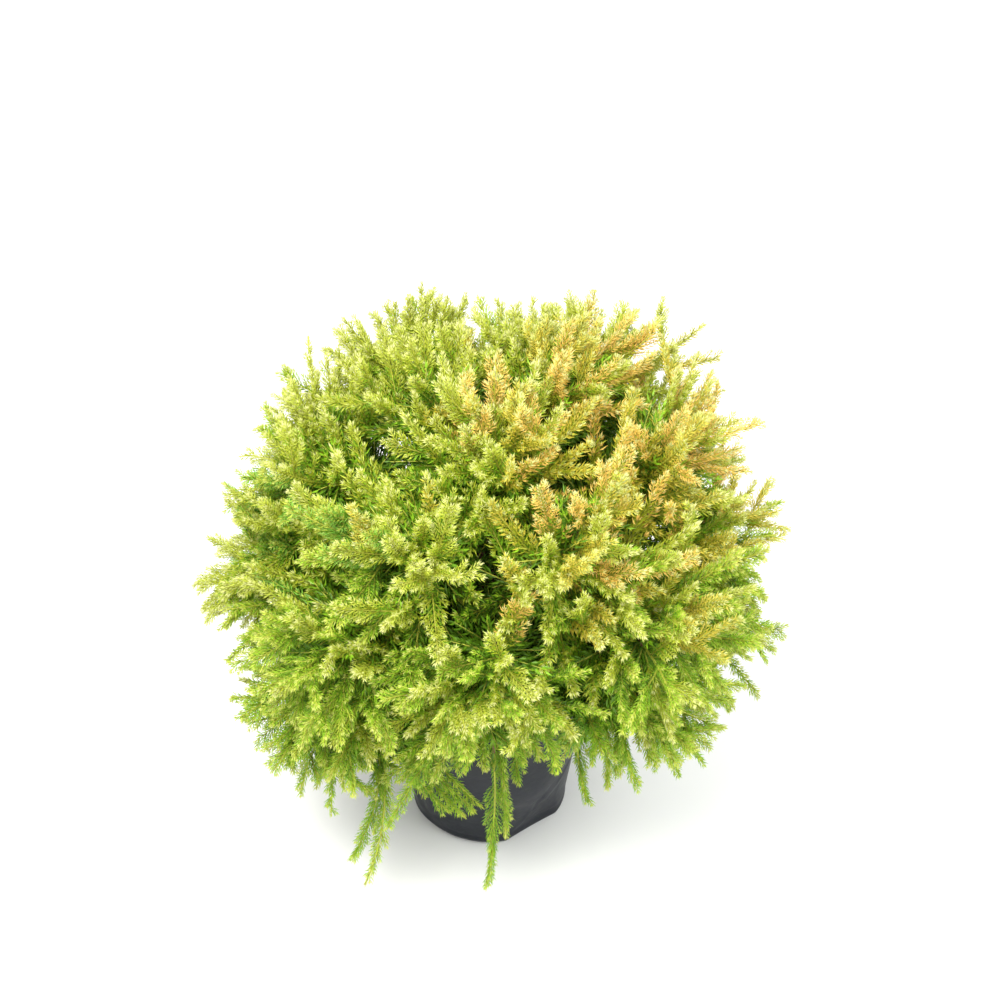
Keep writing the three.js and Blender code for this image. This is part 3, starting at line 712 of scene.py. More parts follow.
def inner_shoots(rng, twigs, mass, low, values):
    """Coarse shoots inside the crown, on the limbs and on the bare part of the twigs, and their masses."""
    curves, masses = [], []
    for parents, own_mass, count, start, end in (
        (limb_curves(), np.arange(MASS_COUNT), values.limb_shoots, 0.14, 1.0),
        (twigs, mass, values.twig_shoots, 0.02, low),
    ):
        shares, steps = steps_between(rng, len(parents), count, start, end, 0.02)
        lengths = rng.uniform(*INNER_LENGTHS, shares.shape)
        curves.append(side_shoots(rng, round_stem(rng, parents, shares), lengths, INNER, steps))
        masses.append(np.repeat(own_mass, count))
    return within_reach(np.concatenate(curves), INNER_REACH), np.concatenate(masses)


def branches_of(rng, twigs, mass, values):
    """Branches round the twigs: curves and masses. They keep clear of the pot, the ground and the skirt's
    edge, and stand little farther out than their twigs."""
    shares, steps = steps_between(rng, len(twigs), values.branches, *BRANCH_SPAN, 0.04)
    room = BRANCH_ROOM * lengths_of(twigs)[:, None] * (1 - shares)
    lengths = np.minimum(values.plume_length, room) * rng.uniform(0.8, 1.1, shares.shape)
    most = np.maximum(BRANCH_REACH[0], BRANCH_REACH[1] * reach_share(twigs[:, 2]))
    branches = side_shoots(rng, round_stem(rng, twigs, shares), lengths, BRANCH, steps)
    branches = within_reach(branches, np.repeat(most, values.branches))
    tips = branches[:, 2]
    ways = tips - CROWN_CENTRE
    kept = is_free(branches).all(axis=1) & (elevation_of(ways) > skirt_edge(ways))
    kept &= over_front(tips) < np.maximum(-FRONT_MARGIN, np.repeat(over_front(twigs[:, 2]), values.branches))
    return branches[kept], np.repeat(mass, values.branches)[kept]


def grown(values):
    """All needle-clad shoots as one table of arrays: curves, mass, level, how far up its plume each stands,
    share of it where its needles start, and tint."""
    rng = np.random.default_rng(SHOOT_SEED)
    twigs, mass = twig_curves(rng, values.twigs)
    n = len(twigs)
    branching = n - len(FRONT_PLUMES)
    branches, branch_mass = branches_of(rng, twigs[:branching], mass[:branching], values)
    plume_lengths = np.where(np.arange(n) < branching, values.plume_length, FRONT_PLUME_LENGTH)
    low = np.clip(1 - plume_lengths / lengths_of(twigs), *PLUME_STARTS)[:, None]
    sides, side_plume, height = plume_shoots(rng, twigs, low, values)
    more_sides, more_plume, more_height = plume_shoots(rng, branches, BRANCH_SPAN[0], values)
    inner, inner_mass = inner_shoots(rng, twigs, mass, low, values)

    plumes = np.concatenate([twigs, branches])
    curves = np.concatenate([plumes, sides, more_sides, inner])
    level = np.repeat([TWIG, BRANCH, SIDE, SIDE, INNER],
                      [n, len(branches), len(sides), len(more_sides), len(inner)])
    plume = np.concatenate([np.arange(len(plumes)), side_plume, n + more_plume, np.zeros(len(inner), int)])
    tint = tints_of(unit(plumes[:, 2] - CROWN_CENTRE), rng)[plume]
    tint[level == INNER] = TINT_NAMES.index("green")
    columns = {
        "curves": curves,
        "mass": np.concatenate([np.concatenate([mass, branch_mass])[plume[level < INNER]], inner_mass]),
        "level": level,
        "height": np.concatenate([np.zeros(len(plumes)), height, more_height, np.zeros(len(inner))]),
        "starts": np.concatenate([low[:, 0] * STARTS[TWIG], np.choose(level[n:], STARTS)]),
        "tint": tint,
    }
    kept = is_free(curves[:, 1:]).all(axis=1) | (level == TWIG)
    return {name: column[kept] for name, column in columns.items()}


def tints_of(ways, rng):
    """The tint of each spray: green on the skirt, lime at the sides, yellow on top, and the patches dealt
    over that by chance, more surely near their middles."""
    height = elevation_of(ways) + rng.normal(0, TINT_BLUR, len(ways))
    tint = np.where(height < GREEN_BELOW, TINT_NAMES.index("green"), TINT_NAMES.index("lime"))
    tint = np.where(height > YELLOW_ABOVE, TINT_NAMES.index("yellow"), tint)
    for name, azimuth, elevation, half_width, share in TINT_PATCHES:
        near = np.exp(-((apart(ways, towards(azimuth, elevation)) / half_width) ** 4))
        tint = np.where(rng.uniform(size=len(ways)) < share * near, TINT_NAMES.index(name), tint)
    return tint


def tubes(curves, share, radii, sides):
    """A round profile carried along each curve, its radius given at each share, or at each share and angle,
    with a flat fan over both ends. Points are middle + radius·(cos a·u + sin a·v)."""
    middle = points_along(curves, share)
    _, u, v = frames_along(curves, share)
    a = round_angles(sides)
    ring = np.cos(a)[:, None] * u[:, :, None] + np.sin(a)[:, None] * v[:, :, None]
    points = middle[:, :, None] + ring * radii.reshape(*share.shape, -1, 1)
    at = np.arange(points[..., 0].size).reshape(points.shape[:3])
    return points.reshape(-1, 3), [ring_walls(at), at[:, 0, ::-1], at[:, -1]]


def needles(values, shoots):
    """Needles round every shoot, each a slim kite folded along its middle, widest below the half and incurved
    to its tip. They close up to a rosette at the shoot's end, and are coarser inside the crown. Returns the
    corners, the shade and the shoot of each needle."""
    rng = np.random.default_rng(SHOOT_SEED + 1)
    curves, starts, level = shoots["curves"], shoots["starts"], shoots["level"]
    middle = points_along(curves, (1 + starts[:, None]) / 2)[:, 0]
    inside = DEEP_COARSENESS * np.clip((DEEP_FROM - reach_share(middle)) / DEEP_RANGE, 0, 1)
    coarse = 1 + (values.inner_scale - 1) * np.where(level == INNER, 1, inside)
    clad = lengths_of(curves) * (1 - starts)
    counts = np.maximum(3, np.round(clad / (values.pitch * coarse))).astype(int)
    total = counts + np.where(level == INNER, 0, values.rosette)
    shoot = np.repeat(np.arange(len(curves)), total)
    rank = np.arange(total.sum()) - np.repeat(np.cumsum(total) - total, total)
    on_stem = rank < counts[shoot]
    closing_rank = (rank - counts[shoot]) / values.rosette
    in_rosette = ROSETTE_FROM + (1 - ROSETTE_FROM) * closing_rank
    along = np.where(on_stem, (rank + 0.5) / counts[shoot] * STEM_END, in_rosette)
    t = (starts[shoot] + (1 - starts[shoot]) * along)[:, None]
    picked = curves[shoot]
    foot = points_along(picked, t)[:, 0]
    heading, u, v = (w[:, 0] for w in frames_along(picked, t))
    turn = rank * NEEDLE_TURN + chance(shoot * 13) * 2 * np.pi
    outwards = np.cos(turn)[:, None] * u + np.sin(turn)[:, None] * v
    closing = np.clip((along - CLOSING_FROM) / (1 - CLOSING_FROM), 0, 1)
    lean = values.needle_lean * (1 - CLOSING_LEAN * closing**2) + rng.normal(0, 2, len(t))
    lean = np.where(on_stem, lean, ROSETTE_LEANS[0] + ROSETTE_LEANS[1] * (1 - closing_rank))
    lean = np.radians(lean)[:, None]
    size = np.where(on_stem, 1 - CLOSING_SIZE * closing**2, ROSETTE_SIZE) * rng.uniform(0.92, 1.08, len(t))
    size = size * np.where(level[shoot] == SIDE, SIDE_NEEDLE_SIZE, 1.0)
    length = (values.needle_length * size * np.sqrt(coarse[shoot]))[:, None]
    way = np.cos(lean) * heading + np.sin(lean) * outwards
    back = -np.sin(lean) * heading + np.cos(lean) * outwards
    half = (values.needle_width / 2 * coarse[shoot])[:, None] * np.cross(way, back)
    belly = foot + BELLY_PLACE * length * way + BELLY_BOW * length * back
    tip = foot + length * way - TIP_TURN * length * back
    corners = np.stack([foot, belly - half, belly + half, tip], axis=1)
    from_centre = foot - CROWN_CENTRE
    depth = norm(from_centre) / reach(unit(from_centre))
    height = np.where(level[shoot] < SIDE, along, shoots["height"][shoot] * 0.2 + along * 0.8)
    # Needles deep in the crown darken: partly the greener older foliage there, partly painted shade for the
    # gaps between plumes
    shade = SHADE_LEAST + SHADE_GAIN * height - AGE_AND_SHADE_LOSS * np.clip(SHADE_DEPTH - depth, 0, 0.3)
    shade += SHADE_CHANCE * rng.normal(size=len(level))[shoot] + SHADE_CHANCE * rng.normal(size=len(t))
    shade = np.where(on_stem, shade, shade + SHADE_EXTRA)
    # Inner shoots lose the rosette's gain: their darker green is partly the older foliage inside and partly
    # painted shade for the crown's shadowed inside
    return corners, np.where(level[shoot] == INNER, shade - SHADE_EXTRA, shade), shoot


def mesh_of(name, points, groups, smooth=True):
    """A mesh from points and arrays of faces, where each array's faces have one number of corners."""
    corners = np.concatenate([g.ravel() for g in groups]).astype(np.int32)
    sizes = np.concatenate([np.full(len(g), g.shape[1]) for g in groups])
    mesh = bpy.data.meshes.new(name)
    mesh.vertices.add(len(points))
    mesh.vertices.foreach_set("co", np.ascontiguousarray(points, dtype=np.float32).ravel())
    mesh.loops.add(len(corners))
    mesh.loops.foreach_set("vertex_index", corners)
    mesh.polygons.add(len(sizes))
    mesh.polygons.foreach_set("loop_start", (np.cumsum(sizes) - sizes).astype(np.int32))
    mesh.polygons.foreach_set("use_smooth", np.full(len(sizes), smooth))
    mesh.update(calc_edges=True)
    return mesh


def joined(parts):
    """Points and faces of several shapes as one, with the faces' numbers moved on."""
    points = np.concatenate([p for p, _ in parts])
    by_size = {}
    start = 0
    for own, groups in parts:
        for g in groups:
            by_size.setdefault(g.shape[1], []).append(g + start)
        start += len(own)
    return points, [np.concatenate(rows) for rows in by_size.values()]


def linked(name, data):
    """A new object in the scene."""
    thing = bpy.data.objects.new(name, data)
    bpy.context.scene.collection.objects.link(thing)
    return thing


def add_piece(name, shape, material, nodes, smooth=True):
    """An object at the origin, from points and faces, that rides on the body, takes its finish from a slot
    and stands for nodes."""
    piece = linked(name, mesh_of(name, *shape, smooth=smooth))
    piece.data.materials.append(material)
    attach(piece, "root")
    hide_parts(*nodes)
    return piece


class Finish:
    """A material on the Principled shader, with its pattern nodes added one at a time."""

    def __init__(self, name, colour, roughness):
        self.material = bpy.data.materials.new(name)
        self.material.use_nodes = True
        self.nodes = self.material.node_tree.nodes
        self.shader = self.nodes["Principled BSDF"]
        self.shader.inputs["Base Color"].default_value = (*colour, 1)
        self.shader.inputs["Roughness"].default_value = roughness

    def link(self, source, target):
        self.material.node_tree.links.new(source, target)

    def node(self, kind, **inputs):
        node = self.nodes.new("ShaderNode" + kind)
        for name, value in inputs.items():
            node.inputs[name.replace("_", " ")].default_value = value
        return node

    def noise(self, scale, detail=4.0, stretch=(1, 1, 1), distortion=0.0):
        """A noise pattern on Object coordinates, with so many waves a metre, stretched along the axes."""
        mapping = self.node("Mapping", Scale=stretch)
        pattern = self.node("TexNoise", Scale=scale, Detail=detail, Distortion=distortion)
        self.link(self.node("TexCoord").outputs["Object"], mapping.inputs["Vector"])
        self.link(mapping.outputs["Vector"], pattern.inputs["Vector"])
        return pattern.outputs["Fac"]

    def colour(self, value, stops):
        """A base colour that runs over a value, from rows of place and colour."""
        ramp = self.node("ValToRGB")
        elements = ramp.color_ramp.elements
        for element, (place, colour) in zip(elements, (stops[0], stops[-1])):
            element.position = place
            element.color = (*colour, 1)
        for place, colour in stops[1:-1]:
            elements.new(place).color = (*colour, 1)
        self.link(value, ramp.inputs["Fac"])
        self.link(ramp.outputs["Color"], self.shader.inputs["Base Color"])

    def roughness(self, value, low, high):
        """A roughness from low to high over a value from about 0.3 to 0.7."""
        spread = self.node("MapRange", From_Min=0.3, From_Max=0.7, To_Min=low, To_Max=high)
        self.link(value, spread.inputs["Value"])
        self.link(spread.outputs["Result"], self.shader.inputs["Roughness"])

    def bump(self, value, height):
        """Relief of a height in metres, on top of any that is there."""
        bump = self.node("Bump", Strength=1.0, Distance=height)
        previous = self.shader.inputs["Normal"].links
        if previous:
            self.link(previous[0].from_socket, bump.inputs["Normal"])
        self.link(value, bump.inputs["Height"])
        self.link(bump.outputs["Normal"], self.shader.inputs["Normal"])


def polythene():
    """Soft black polythene, semi-matt, with dull dusty clouds and a fine grain."""
    finish = Finish("soft_black_polythene", (0.03, 0.032, 0.038), 0.42)
    finish.shader.inputs["Specular IOR Level"].default_value = 0.3
    stops = [(0.3, (0.006, 0.008, 0.012)), (0.55, (0.012, 0.014, 0.020)), (0.75, (0.032, 0.033, 0.037))]
    finish.colour(finish.noise(14, 5), stops)
    finish.roughness(finish.noise(30, 6), 0.34, 0.56)
    finish.bump(finish.noise(60, 3, distortion=0.6), 0.0008)
    finish.bump(finish.noise(900, 2), 0.00008)
    return finish.material


def compost():
    """Moist bark compost: dark crumbs with redder and paler bits."""
    finish = Finish("bark_compost", (0.06, 0.036, 0.022), 0.9)
    stops = [(0.3, (0.018, 0.010, 0.007)), (0.5, (0.060, 0.034, 0.020)), (0.72, (0.150, 0.080, 0.045))]
    finish.colour(finish.noise(160, 6), stops)
    finish.roughness(finish.noise(90), 0.75, 0.98)
    finish.bump(finish.noise(420, 6), 0.0012)
    return finish.material


def bark():
    """Fibrous red-brown bark: long streaky fibres from dark red-brown to greyer brown, with fine long relief.
    """
    finish = Finish("fibrous_bark", (0.22, 0.11, 0.06), 0.85)
    stops = [(0.3, (0.070, 0.030, 0.016)), (0.5, (0.210, 0.100, 0.055)), (0.72, (0.360, 0.230, 0.150))]
    finish.colour(finish.noise(120, 6, stretch=(1, 1, 0.16), distortion=0.3), stops)
    finish.roughness(finish.noise(70), 0.7, 0.95)
    finish.bump(finish.noise(420, 5, stretch=(1, 1, 0.2)), 0.0008)
    return finish.material


def stem_skin():
    """The yellow-green skin of young stems, streaked a little lighter and darker."""
    colour = (0.44, 0.46, 0.05)
    finish = Finish("young_stem", colour, 0.6)
    finish.colour(finish.noise(60), [(0.3, [0.7 * c for c in colour]), (0.7, [1.25 * c for c in colour])])
    return finish.material


def needle_skin(name, colour):
    """Needles of one plain colour, satin."""
    return Finish("needles_" + name, colour, 0.5).material


def bark_relief(angle, length, rng, count=7):
    """How far bark stands out, from -1 to 1: rounded ridges that run up the limb and wander, cos of a whole
    number of turns round it plus slow waves along it, mixed with cross-wise cracks."""
    relief = np.zeros(np.broadcast(angle, length).shape)
    for _ in range(count):
        turns = rng.integers(5, 14)
        wander = rng.uniform(0.6, 1.6) * np.sin(length * rng.uniform(60, 160) + rng.uniform(0, 6.28))
        relief += np.abs(np.cos(turns * angle / 2 + wander * (turns % 2 == 0))) / count
        relief += 0.5 * np.cos(turns * angle + wander * 2 + length * rng.uniform(-80, 80)) / count
    return 2 * relief - 1.2


def barked_trunk(values):
    """The trunk: radius narrows evenly from foot to tip, with a root flare that dies away with height and low
    buttresses, as in the source, and the bark's relief on top. A grid of angle and height, closed flat at
    both ends."""
    rng = np.random.default_rng(BARK_SEED)
    angle = round_angles(72)
    height = SOIL_TOP - 0.001 + (TRUNK_TOP - SOIL_TOP + 0.001) * np.linspace(0, 1, 90) ** 1.2
    step = height - SOIL_TOP
    flare = np.exp(-np.maximum(step, 0) / FLARE_HEIGHT)
    radius = TRUNK_RADIUS - TRUNK_TAPER * step / (TRUNK_TOP - SOIL_TOP) + ROOT_FLARE * flare
    radius = radius[:, None] * (1 + BUTTRESS_SHARE * flare[:, None] * np.cos(BUTTRESSES * angle))
    radius = radius + values.trunk_relief * bark_relief(angle[None], height[:, None], rng)
    points = trunk_middle(height)[:, None] + polar(radius, angle)
    at = np.arange(radius.size).reshape(radius.shape)
    return points.reshape(-1, 3), [ring_walls(at), at[:1, ::-1], at[-1:]]


def barked_limbs(values):
    """The boughs: tubes along the limbs from inside the trunk to their forks, whose radius runs evenly from
    root to tip, with the bark's relief on it."""
    rng = np.random.default_rng(BARK_SEED + 1)
    curves = limb_curves()
    rings, sides = 34, 18
    share = np.tile(np.linspace(0, 1, rings), (len(curves), 1))
    radius = BOUGH_ROOT + (BOUGH_TIP - BOUGH_ROOT) * share
    place = (share * 0.2 + np.arange(len(curves))[:, None])[..., None]
    relief = bark_relief(round_angles(sides), place, rng)
    return tubes(curves, share, radius[..., None] + values.limb_relief * relief, sides)


def pot_profile():
    """Radius and height of the pot's section, from the middle of the underside round the outside, the lip and
    the inside to the middle of the floor, and how much of the wall's give each point has."""
    flat = POT_FOOT_RADIUS - POT_FOOT_ROUND
    under = [(r, 0.0, r / flat) for r in np.linspace(0, flat, 10)]
    for turn in np.linspace(0, np.pi / 2, 6)[1:]:
        short = (1 - math.sin(turn)) * FOOT_FULLNESS + (1 - FOOT_FULLNESS) * (1 - turn / (np.pi / 2))
        rise = POT_FOOT_ROUND * (1 - math.cos(turn)) * FOOT_FLATNESS
        under.append((POT_FOOT_RADIUS - POT_FOOT_ROUND * short, rise, 1))
    low = POT_FOOT_ROUND * FOOT_FLATNESS
    high = POT_TOP - LIP_HEIGHT - 0.004
    levels = low + (high - low) * np.linspace(0, 1, 46)[1:] ** 1.1
    outer = [(POT_FOOT_RADIUS + POT_SLOPE * z, z, 1) for z in levels]
    lip = [(POT_RIM_RADIUS + out, POT_TOP - down, give) for out, down, give in LIP_SECTION]
    inner = [(r - POT_WALL, z, give) for r, z, give in outer[::-3]]
    floor = [(r, POT_FLOOR, r / flat) for r in np.linspace(flat, 0, 8)]
    return np.array(under + outer + lip + inner + floor)


def pot_give(azimuth, height):
    """How far the soft wall stands out from its cone: the source's dent, slow waves, a turned-under band at
    the foot, creases, each a ridge that falls off with the square of the distance from its line, and the flat
    of the foot."""
    middle, half_width, level, half_height, depth = DENT
    sideways = (azimuth - middle) / half_width
    give = -depth * np.exp(-(sideways**2) - ((height - level) / half_height) ** 2)
    turn = np.radians(azimuth)
    for number, up, shift, stands in WALL_WAVES:
        give += stands * np.sin(number * turn + up * height + shift)
    waves = sum(stands * np.sin(number * turn + shift) for number, shift, stands in BAND_WAVES)
    over_band = height - BAND_EDGE - waves
    give -= BAND_GROOVE[0] * np.exp(-((over_band / BAND_GROOVE[1]) ** 2))
    give += BAND_STEP[0] / (1 + np.exp(over_band / BAND_STEP[1]))
    for middle, level, slope, half_length, half_width, stands in CREASES:
        sideways = np.radians(np.mod(azimuth - middle + 180, 360) - 180) * POT_FOOT_RADIUS
        upwards = height - level
        run = math.hypot(1, slope)
        on_line = (sideways + slope * upwards) / run
        off_line = (upwards - slope * sideways) / run
        give += stands * np.exp(-((on_line / half_length) ** 2) - (off_line / half_width) ** 2)
    middle, half_angle, fades = FOOT_FLAT
    off_middle = np.radians(np.clip(np.abs(azimuth - middle), 0, half_angle))
    pressed = POT_FOOT_RADIUS * (1 - math.cos(math.radians(half_angle)) / np.cos(off_middle))
    return give * np.minimum(1, height / POT_FOOT_ROUND) - pressed * np.exp(-((height / fades) ** 2))


def soft_pot(values):
    """The pot: its section carried once round, radius + give·share at each angle."""
    radius, height, give = (column[:, None] for column in pot_profile().T)
    radius = radius + give * values.give * pot_give(round_azimuths(POT_SIDES)[None], height)
    return lathed(radius[1:-1], height[1:-1], height[0, 0], height[-1, 0])


def drained(piece):
    """Cuts the drain holes through the pot's floor, and keeps the cut mesh."""
    angle = (np.arange(DRAIN_HOLES) + 0.5) * 2 * np.pi / DRAIN_HOLES
    flat = polar(DRAIN_RING_RADIUS, angle)[:, None] + polar(DRAIN_HOLE_RADIUS, round_angles(20))
    points = np.stack([flat + [0, 0, level] for level in DRAIN_CUT], axis=1)
    at = np.arange(points[..., 0].size).reshape(points.shape[:3])
    mesh = mesh_of("drain_cutter", points.reshape(-1, 3), [ring_walls(at), at[:, 0, ::-1], at[:, 1]])
    cutter = linked("drain_cutter", mesh)
    cut = piece.modifiers.new("drain holes", "BOOLEAN")
    cut.operation = "DIFFERENCE"
    cut.solver = "EXACT"
    cut.object = cutter
    bpy.context.view_layer.update()
    evaluated = piece.evaluated_get(bpy.context.evaluated_depsgraph_get())
    piece.data = bpy.data.meshes.new_from_object(evaluated)
    piece.modifiers.clear()
    bpy.data.objects.remove(cutter)


def crumbly_mix(values):
    """The potting mix: the source's plug, which tapers with the pot, under a crumbly top. The top is a polar
    grid whose height crowns towards the trunk and adds waves of several sizes."""
    angle = round_angles(MIX_SIDES)
    edge = SOIL_TOP - MIX_CROWN
    levels = np.linspace(MIX_FOOT, edge, 14)[:, None]
    give = values.give * pot_give(round_azimuths(MIX_SIDES)[None], levels)
    side = POT_FOOT_RADIUS + POT_SLOPE * levels - MIX_GAP + give
    side[0] -= POT_FOOT_ROUND - 0.004
    share = np.linspace(1, 0, 34)[1:, None] ** 0.9
    top = side[-1][None] * share + 0 * angle
    x, y = top * np.cos(angle), top * np.sin(angle)
    crumbs = 0.0011 * np.sin(310 * x + 2.1 * np.sin(190 * y)) * np.cos(270 * y + 1.7 * np.sin(230 * x))
    crumbs += 0.0006 * np.sin(900 * x + 1.3) * np.sin(820 * y + 2 * np.sin(400 * x))
    top_height = edge + MIX_RISE * (1 - share**2) + crumbs
    radius = np.concatenate([side, top[:-1]])
    height = np.concatenate([levels + 0 * angle, top_height[:-1]])
    return lathed(radius, height, MIX_FOOT, top_height[-1, 0])


def bark_chips(values):
    """Chips of bark on the mix: slabs of six faces, longer than wide, turned and tipped by chance and half
    sunk."""
    rng = np.random.default_rng(CHIP_SEED)
    n = values.chips
    radius = CHIPS_RADIUS * np.sqrt(rng.uniform(0.03, 1, n))
    angle = rng.uniform(0, 2 * np.pi, n)
    level = SOIL_TOP - MIX_CROWN + MIX_RISE * (1 - (radius / MIX_RADIUS) ** 2)
    centre = polar(radius, angle, level)
    heading = unit(np.concatenate([rng.normal(size=(n, 2)), rng.normal(0, 0.25, (n, 1))], axis=1))
    u, v = across(heading)
    length, width, depth = (rng.uniform(*size, n)[:, None, None] for size in CHIP_SIZES)
    corners = np.array([(a, b, c) for a in (-1, 1) for b in (-1, 1) for c in (-1, 1)]) * 0.5
    corners = corners[None] * rng.uniform(0.7, 1.1, (n, 8, 3))
    points = centre[:, None] + corners[..., :1] * length * heading[:, None]
    points = points + corners[..., 1:2] * width * u[:, None] + corners[..., 2:] * depth * v[:, None]
    box = np.array([[0, 1, 3, 2], [4, 6, 7, 5], [0, 4, 5, 1], [2, 3, 7, 6], [0, 2, 6, 4], [1, 5, 7, 3]])
    return points.reshape(-1, 3), [(box[None] + 8 * np.arange(n)[:, None, None]).reshape(-1, 4)]


def number(kind, name, description, default, **limits):
    """A value of the add-on, plain or with a unit."""
    return kind(name=name, description=description, default=default, **limits)


def metres(name, description, default):
    return number(FloatProperty, name, description, default, unit="LENGTH")


class PotValues(bpy.types.PropertyGroup):
    """Sizes of the pot and of the potting mix."""

    give: number(FloatProperty, "Give", "How much of its dents and creases the wall has", 1.0, min=0)
    chips: number(IntProperty, "Chips", "Number of bark chips on the potting mix", 520, min=0)


class BarkValues(bpy.types.PropertyGroup):
    """Relief of the bark."""

    trunk_relief: metres("Trunk relief", "Half depth of the trunk's furrows", 0.0008)
    limb_relief: metres("Limb relief", "Half depth of the boughs' furrows", 0.0004)


class CrownValues(bpy.types.PropertyGroup):
    """Numbers and sizes of the shoots and needles."""

    twigs: number(IntProperty, "Twigs", "Twigs that a full ball would have", 260, min=1)
    branches: number(IntProperty, "Branches", "Branches of each twig", 5, min=1)
    plume_length: metres("Plume", "Length of a plume at the end of a twig", 0.120)
    side_pitch: metres("Side pitch", "Way along a plume from one side shoot to the next", 0.0056)
    side_length: metres("Side length", "Length of a plume's longest side shoots", 0.025)
    limb_shoots: number(IntProperty, "Limb shoots", "Inner shoots of each limb", 32, min=1)
    twig_shoots: number(IntProperty, "Twig shoots", "Inner shoots of each twig", 12, min=1)
    inner_scale: number(FloatProperty, "Inner", "Size of inner needles against outer ones", 3.0)
    pitch: metres("Pitch", "Way along a shoot from one needle to the next", 0.00107)
    rosette: number(IntProperty, "Rosette", "Short needles that close a shoot's tip", 5, min=1)
    needle_length: metres("Needle", "Length of a full needle", 0.0095)
    needle_width: metres("Width", "Width of a needle", 0.0010)
    needle_lean: number(FloatProperty, "Lean", "Degrees that needles stand off a shoot", 44.0)


class StageValues(bpy.types.PropertyGroup):
    """The camera and the light."""

    distance: metres("Distance", "Camera to the crown", 2.2)
    elevation: number(FloatProperty, "Elevation", "Degrees above the horizon", 35.0)
    lens: number(FloatProperty, "Lens", "Focal length in millimetres", 68.87)
    shift: number(FloatVectorProperty, "Aim", "Aim right of and above the crown's centre", (0.00805, 0.06325),
                  size=2, unit="LENGTH")
    key_power: number(FloatProperty, "Key", "Power of the main light", 84.0, unit="POWER")
    fill_power: number(FloatProperty, "Fill", "Power of the fill light", 44.0, unit="POWER")
    sky: number(FloatProperty, "Sky", "Strength of the light from all round", 1.16)
    floor: number(FloatVectorProperty, "Floor", "Colour of the floor", (0.86, 0.86, 0.85), size=3,
                  subtype="COLOR")


class CEDAR_OT_pot(bpy.types.Operator):
    """Make the soft pot with its dents, creases, lip and drain holes"""

    bl_idname = "cedar.pot"
    bl_label = "Pot"

    def execute(self, context):
        drained(add_piece("nursery_pot", soft_pot(context.scene.cedar_pot), polythene(), ["pot"]))
        return {"FINISHED"}


class CEDAR_OT_mix(bpy.types.Operator):
    """Make the potting mix and the chips of bark on it"""

    bl_idname = "cedar.mix"
    bl_label = "Potting mix"

    def execute(self, context):
        values = context.scene.cedar_pot
        material = compost()
        add_piece("compost", crumbly_mix(values), material, ["potting_mix"])
        add_piece("compost_chips", bark_chips(values), material, ["potting_mix"], smooth=False)
        return {"FINISHED"}


class CEDAR_OT_bark(bpy.types.Operator):
    """Make the trunk and the boughs with their bark"""

    bl_idname = "cedar.bark"
    bl_label = "Trunk and boughs"

    def execute(self, context):
        values = context.scene.cedar_bark
        material = bark()
        add_piece("trunk_bark", barked_trunk(values), material, ["trunk"])
        add_piece("bough_bark", barked_limbs(values), material, BOUGH_NODES)
        return {"FINISHED"}


class CEDAR_OT_stems(bpy.types.Operator):
    """Make the twigs and the stems of the shoots that grow on them"""

    bl_idname = "cedar.stems"
    bl_label = "Twigs and stems"

    def execute(self, context):
        shoots = grown(context.scene.cedar_crown)
        level = shoots["level"]
        twigs = shoots["curves"][level == TWIG]
        parts = []
        for share, foot, taper, sides in (WOOD, GREEN):
            share = np.tile(share, (len(twigs), 1))
            parts.append(tubes(twigs, share, foot - taper * share, sides))
        for kind, rings, foot, tip in STEM_RADII:
            curves = shoots["curves"][level == kind]
            share = np.tile(np.linspace(0, STEM_END, rings), (len(curves), 1))
            parts.append(tubes(curves, share, foot + (tip - foot) * share, 3))
        add_piece("twig_wood", parts[0], bark(), FOLIAGE_NODES)
        skin = stem_skin()
        for name, own in (("young_stems", parts[1:-1]), ("side_stems", parts[-1:])):
            add_piece(name, joined(own), skin, FOLIAGE_NODES)
        return {"FINISHED"}


class CEDAR_OT_needles(bpy.types.Operator):
    """Make the needles of every shoot, each colour apart"""

    bl_idname = "cedar.needles"
    bl_label = "Needles"

    def execute(self, context):
        values = context.scene.cedar_crown
        shoots = grown(values)
        corners, shade, shoot = needles(values, shoots)
        names = list(NEEDLE_COLOURS)
        picks = np.array([[names.index(colour) for colour in TINTS[tint]] for tint in TINT_NAMES])
        colour_of = picks[shoots["tint"][shoot], np.digitize(shade, SHADE_STEPS)]
        mass = shoots["mass"][shoot]
        for index, (name, (slot, colour)) in enumerate(NEEDLE_COLOURS.items()):
            own = np.flatnonzero(colour_of == index)
            own = own[np.argsort(mass[own], kind="stable")]
            material = needle_skin(name, colour)
            pieces = max(1, math.ceil(len(own) / PIECE_LIMIT))
            for part, chosen in enumerate(np.array_split(own, pieces)):
                label = f"needles_{name}" + (f"_{part + 1}" if pieces > 1 else "")
                faces = (NEEDLE_FACES[None] + 4 * np.arange(len(chosen))[:, None, None]).reshape(-1, 3)
                nodes = [FOLIAGE_NODES[m] for m in np.unique(mass[chosen])]
                add_piece(label, (corners[chosen].reshape(-1, 3), [faces]), material, nodes)
        return {"FINISHED"}


def look_along(thing, place, target):
    """Puts a camera or light at a place and turns it to look at a target."""
    thing.location = place
    thing.rotation_mode = "QUATERNION"
    thing.rotation_quaternion = (Vector(target) - Vector(place)).to_track_quat("-Z", "Y")


def area_light(name, azimuth, elevation, distance, size, power, colour):
    """A round light that looks at the crown's centre from a direction and a distance."""
    light = bpy.data.lights.new(name, "AREA")
    light.shape = "DISK"
    light.size = size
    light.energy = power
    light.color = colour
    look_along(linked(name, light), CROWN_CENTRE + distance * towards(azimuth, elevation), CROWN_CENTRE)


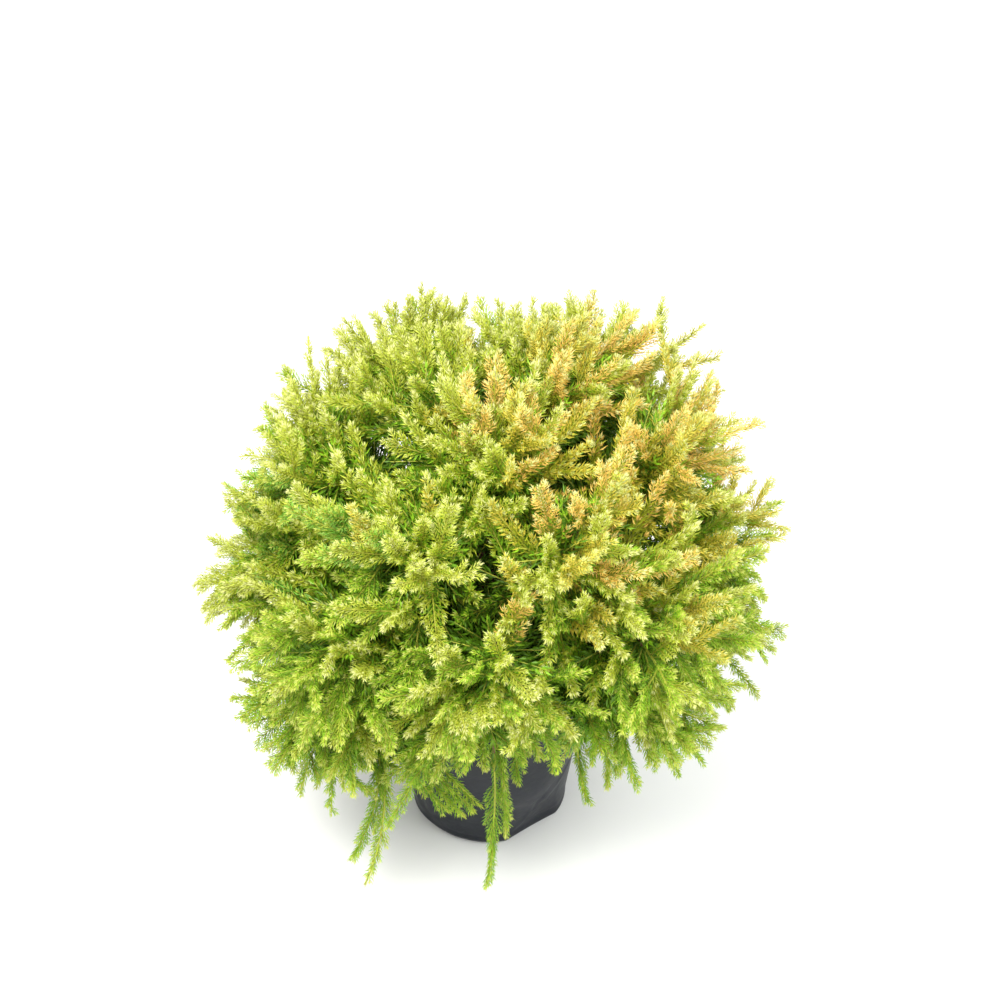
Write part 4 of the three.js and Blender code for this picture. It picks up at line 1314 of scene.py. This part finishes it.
class CEDAR_OT_stage(bpy.types.Operator):
    """Make the pale floor, the soft light and the camera"""

    bl_idname = "cedar.stage"
    bl_label = "Stage"

    def execute(self, context):
        values = context.scene.cedar_stage
        share = np.linspace(-FLOOR_REACH, FLOOR_REACH, 13)
        x, y = np.meshgrid(share, share)
        points = np.stack([x, y, 0 * x], axis=-1).reshape(-1, 3)
        at = np.arange(x.size).reshape(x.shape)
        faces = np.stack([at[:-1, :-1], at[:-1, 1:], at[1:, 1:], at[1:, :-1]], axis=-1).reshape(-1, 4)
        floor = linked("floor", mesh_of("floor", points, [faces]))
        floor.data.materials.append(Finish("pale_floor", tuple(values.floor), 0.9).material)
        area_light("key", -35, 62, 2.4, 1.6, values.key_power, (1.0, 0.985, 0.95))
        area_light("fill", 60, 35, 2.6, 2.0, values.fill_power, (0.96, 0.98, 1.0))
        world = bpy.data.worlds.new("sky")
        world.use_nodes = True
        background = world.node_tree.nodes["Background"]
        background.inputs["Color"].default_value = (1.0, 1.0, 1.0, 1)
        background.inputs["Strength"].default_value = values.sky
        context.scene.world = world
        context.scene.view_settings.view_transform = "Standard"
        camera_data = bpy.data.cameras.new("camera")
        camera_data.lens = values.lens
        camera_data.sensor_width = 36.0
        camera = linked("camera", camera_data)
        back = towards(0.0, values.elevation)
        right, up = np.array([1.0, 0, 0]), np.cross(back, [1.0, 0, 0])
        aim = CROWN_CENTRE + values.shift[0] * right + values.shift[1] * up
        look_along(camera, aim + values.distance * back, aim)
        context.scene.camera = camera
        return {"FINISHED"}


OPERATORS = [CEDAR_OT_pot, CEDAR_OT_mix, CEDAR_OT_bark, CEDAR_OT_stems, CEDAR_OT_needles, CEDAR_OT_stage]
VALUES = {
    "cedar_pot": PotValues,
    "cedar_bark": BarkValues,
    "cedar_crown": CrownValues,
    "cedar_stage": StageValues,
}


class CEDAR_PT_panel(bpy.types.Panel):
    """The pieces of the cedar and the values that they are made from"""

    bl_idname = "CEDAR_PT_panel"
    bl_label = "Potted globe cedar"
    bl_space_type = "VIEW_3D"
    bl_region_type = "UI"
    bl_category = "Cedar"

    def draw(self, context):
        for name, group in VALUES.items():
            box = self.layout.box()
            for key in group.__annotations__:
                box.prop(getattr(context.scene, name), key)
        for operator in OPERATORS:
            self.layout.operator(operator.bl_idname)


CLASSES = [*VALUES.values(), *OPERATORS, CEDAR_PT_panel]


def register():
    for kind in CLASSES:
        bpy.utils.register_class(kind)
    for name, group in VALUES.items():
        setattr(bpy.types.Scene, name, PointerProperty(type=group))


def unregister():
    for name in VALUES:
        delattr(bpy.types.Scene, name)
    for kind in reversed(CLASSES):
        bpy.utils.unregister_class(kind)


def main():
    register()
    bpy.ops.cedar.pot()
    bpy.ops.cedar.mix()
    bpy.ops.cedar.bark()
    bpy.ops.cedar.stems()
    bpy.ops.cedar.needles()
    bpy.ops.cedar.stage()


if __name__ == "__main__":
    main()
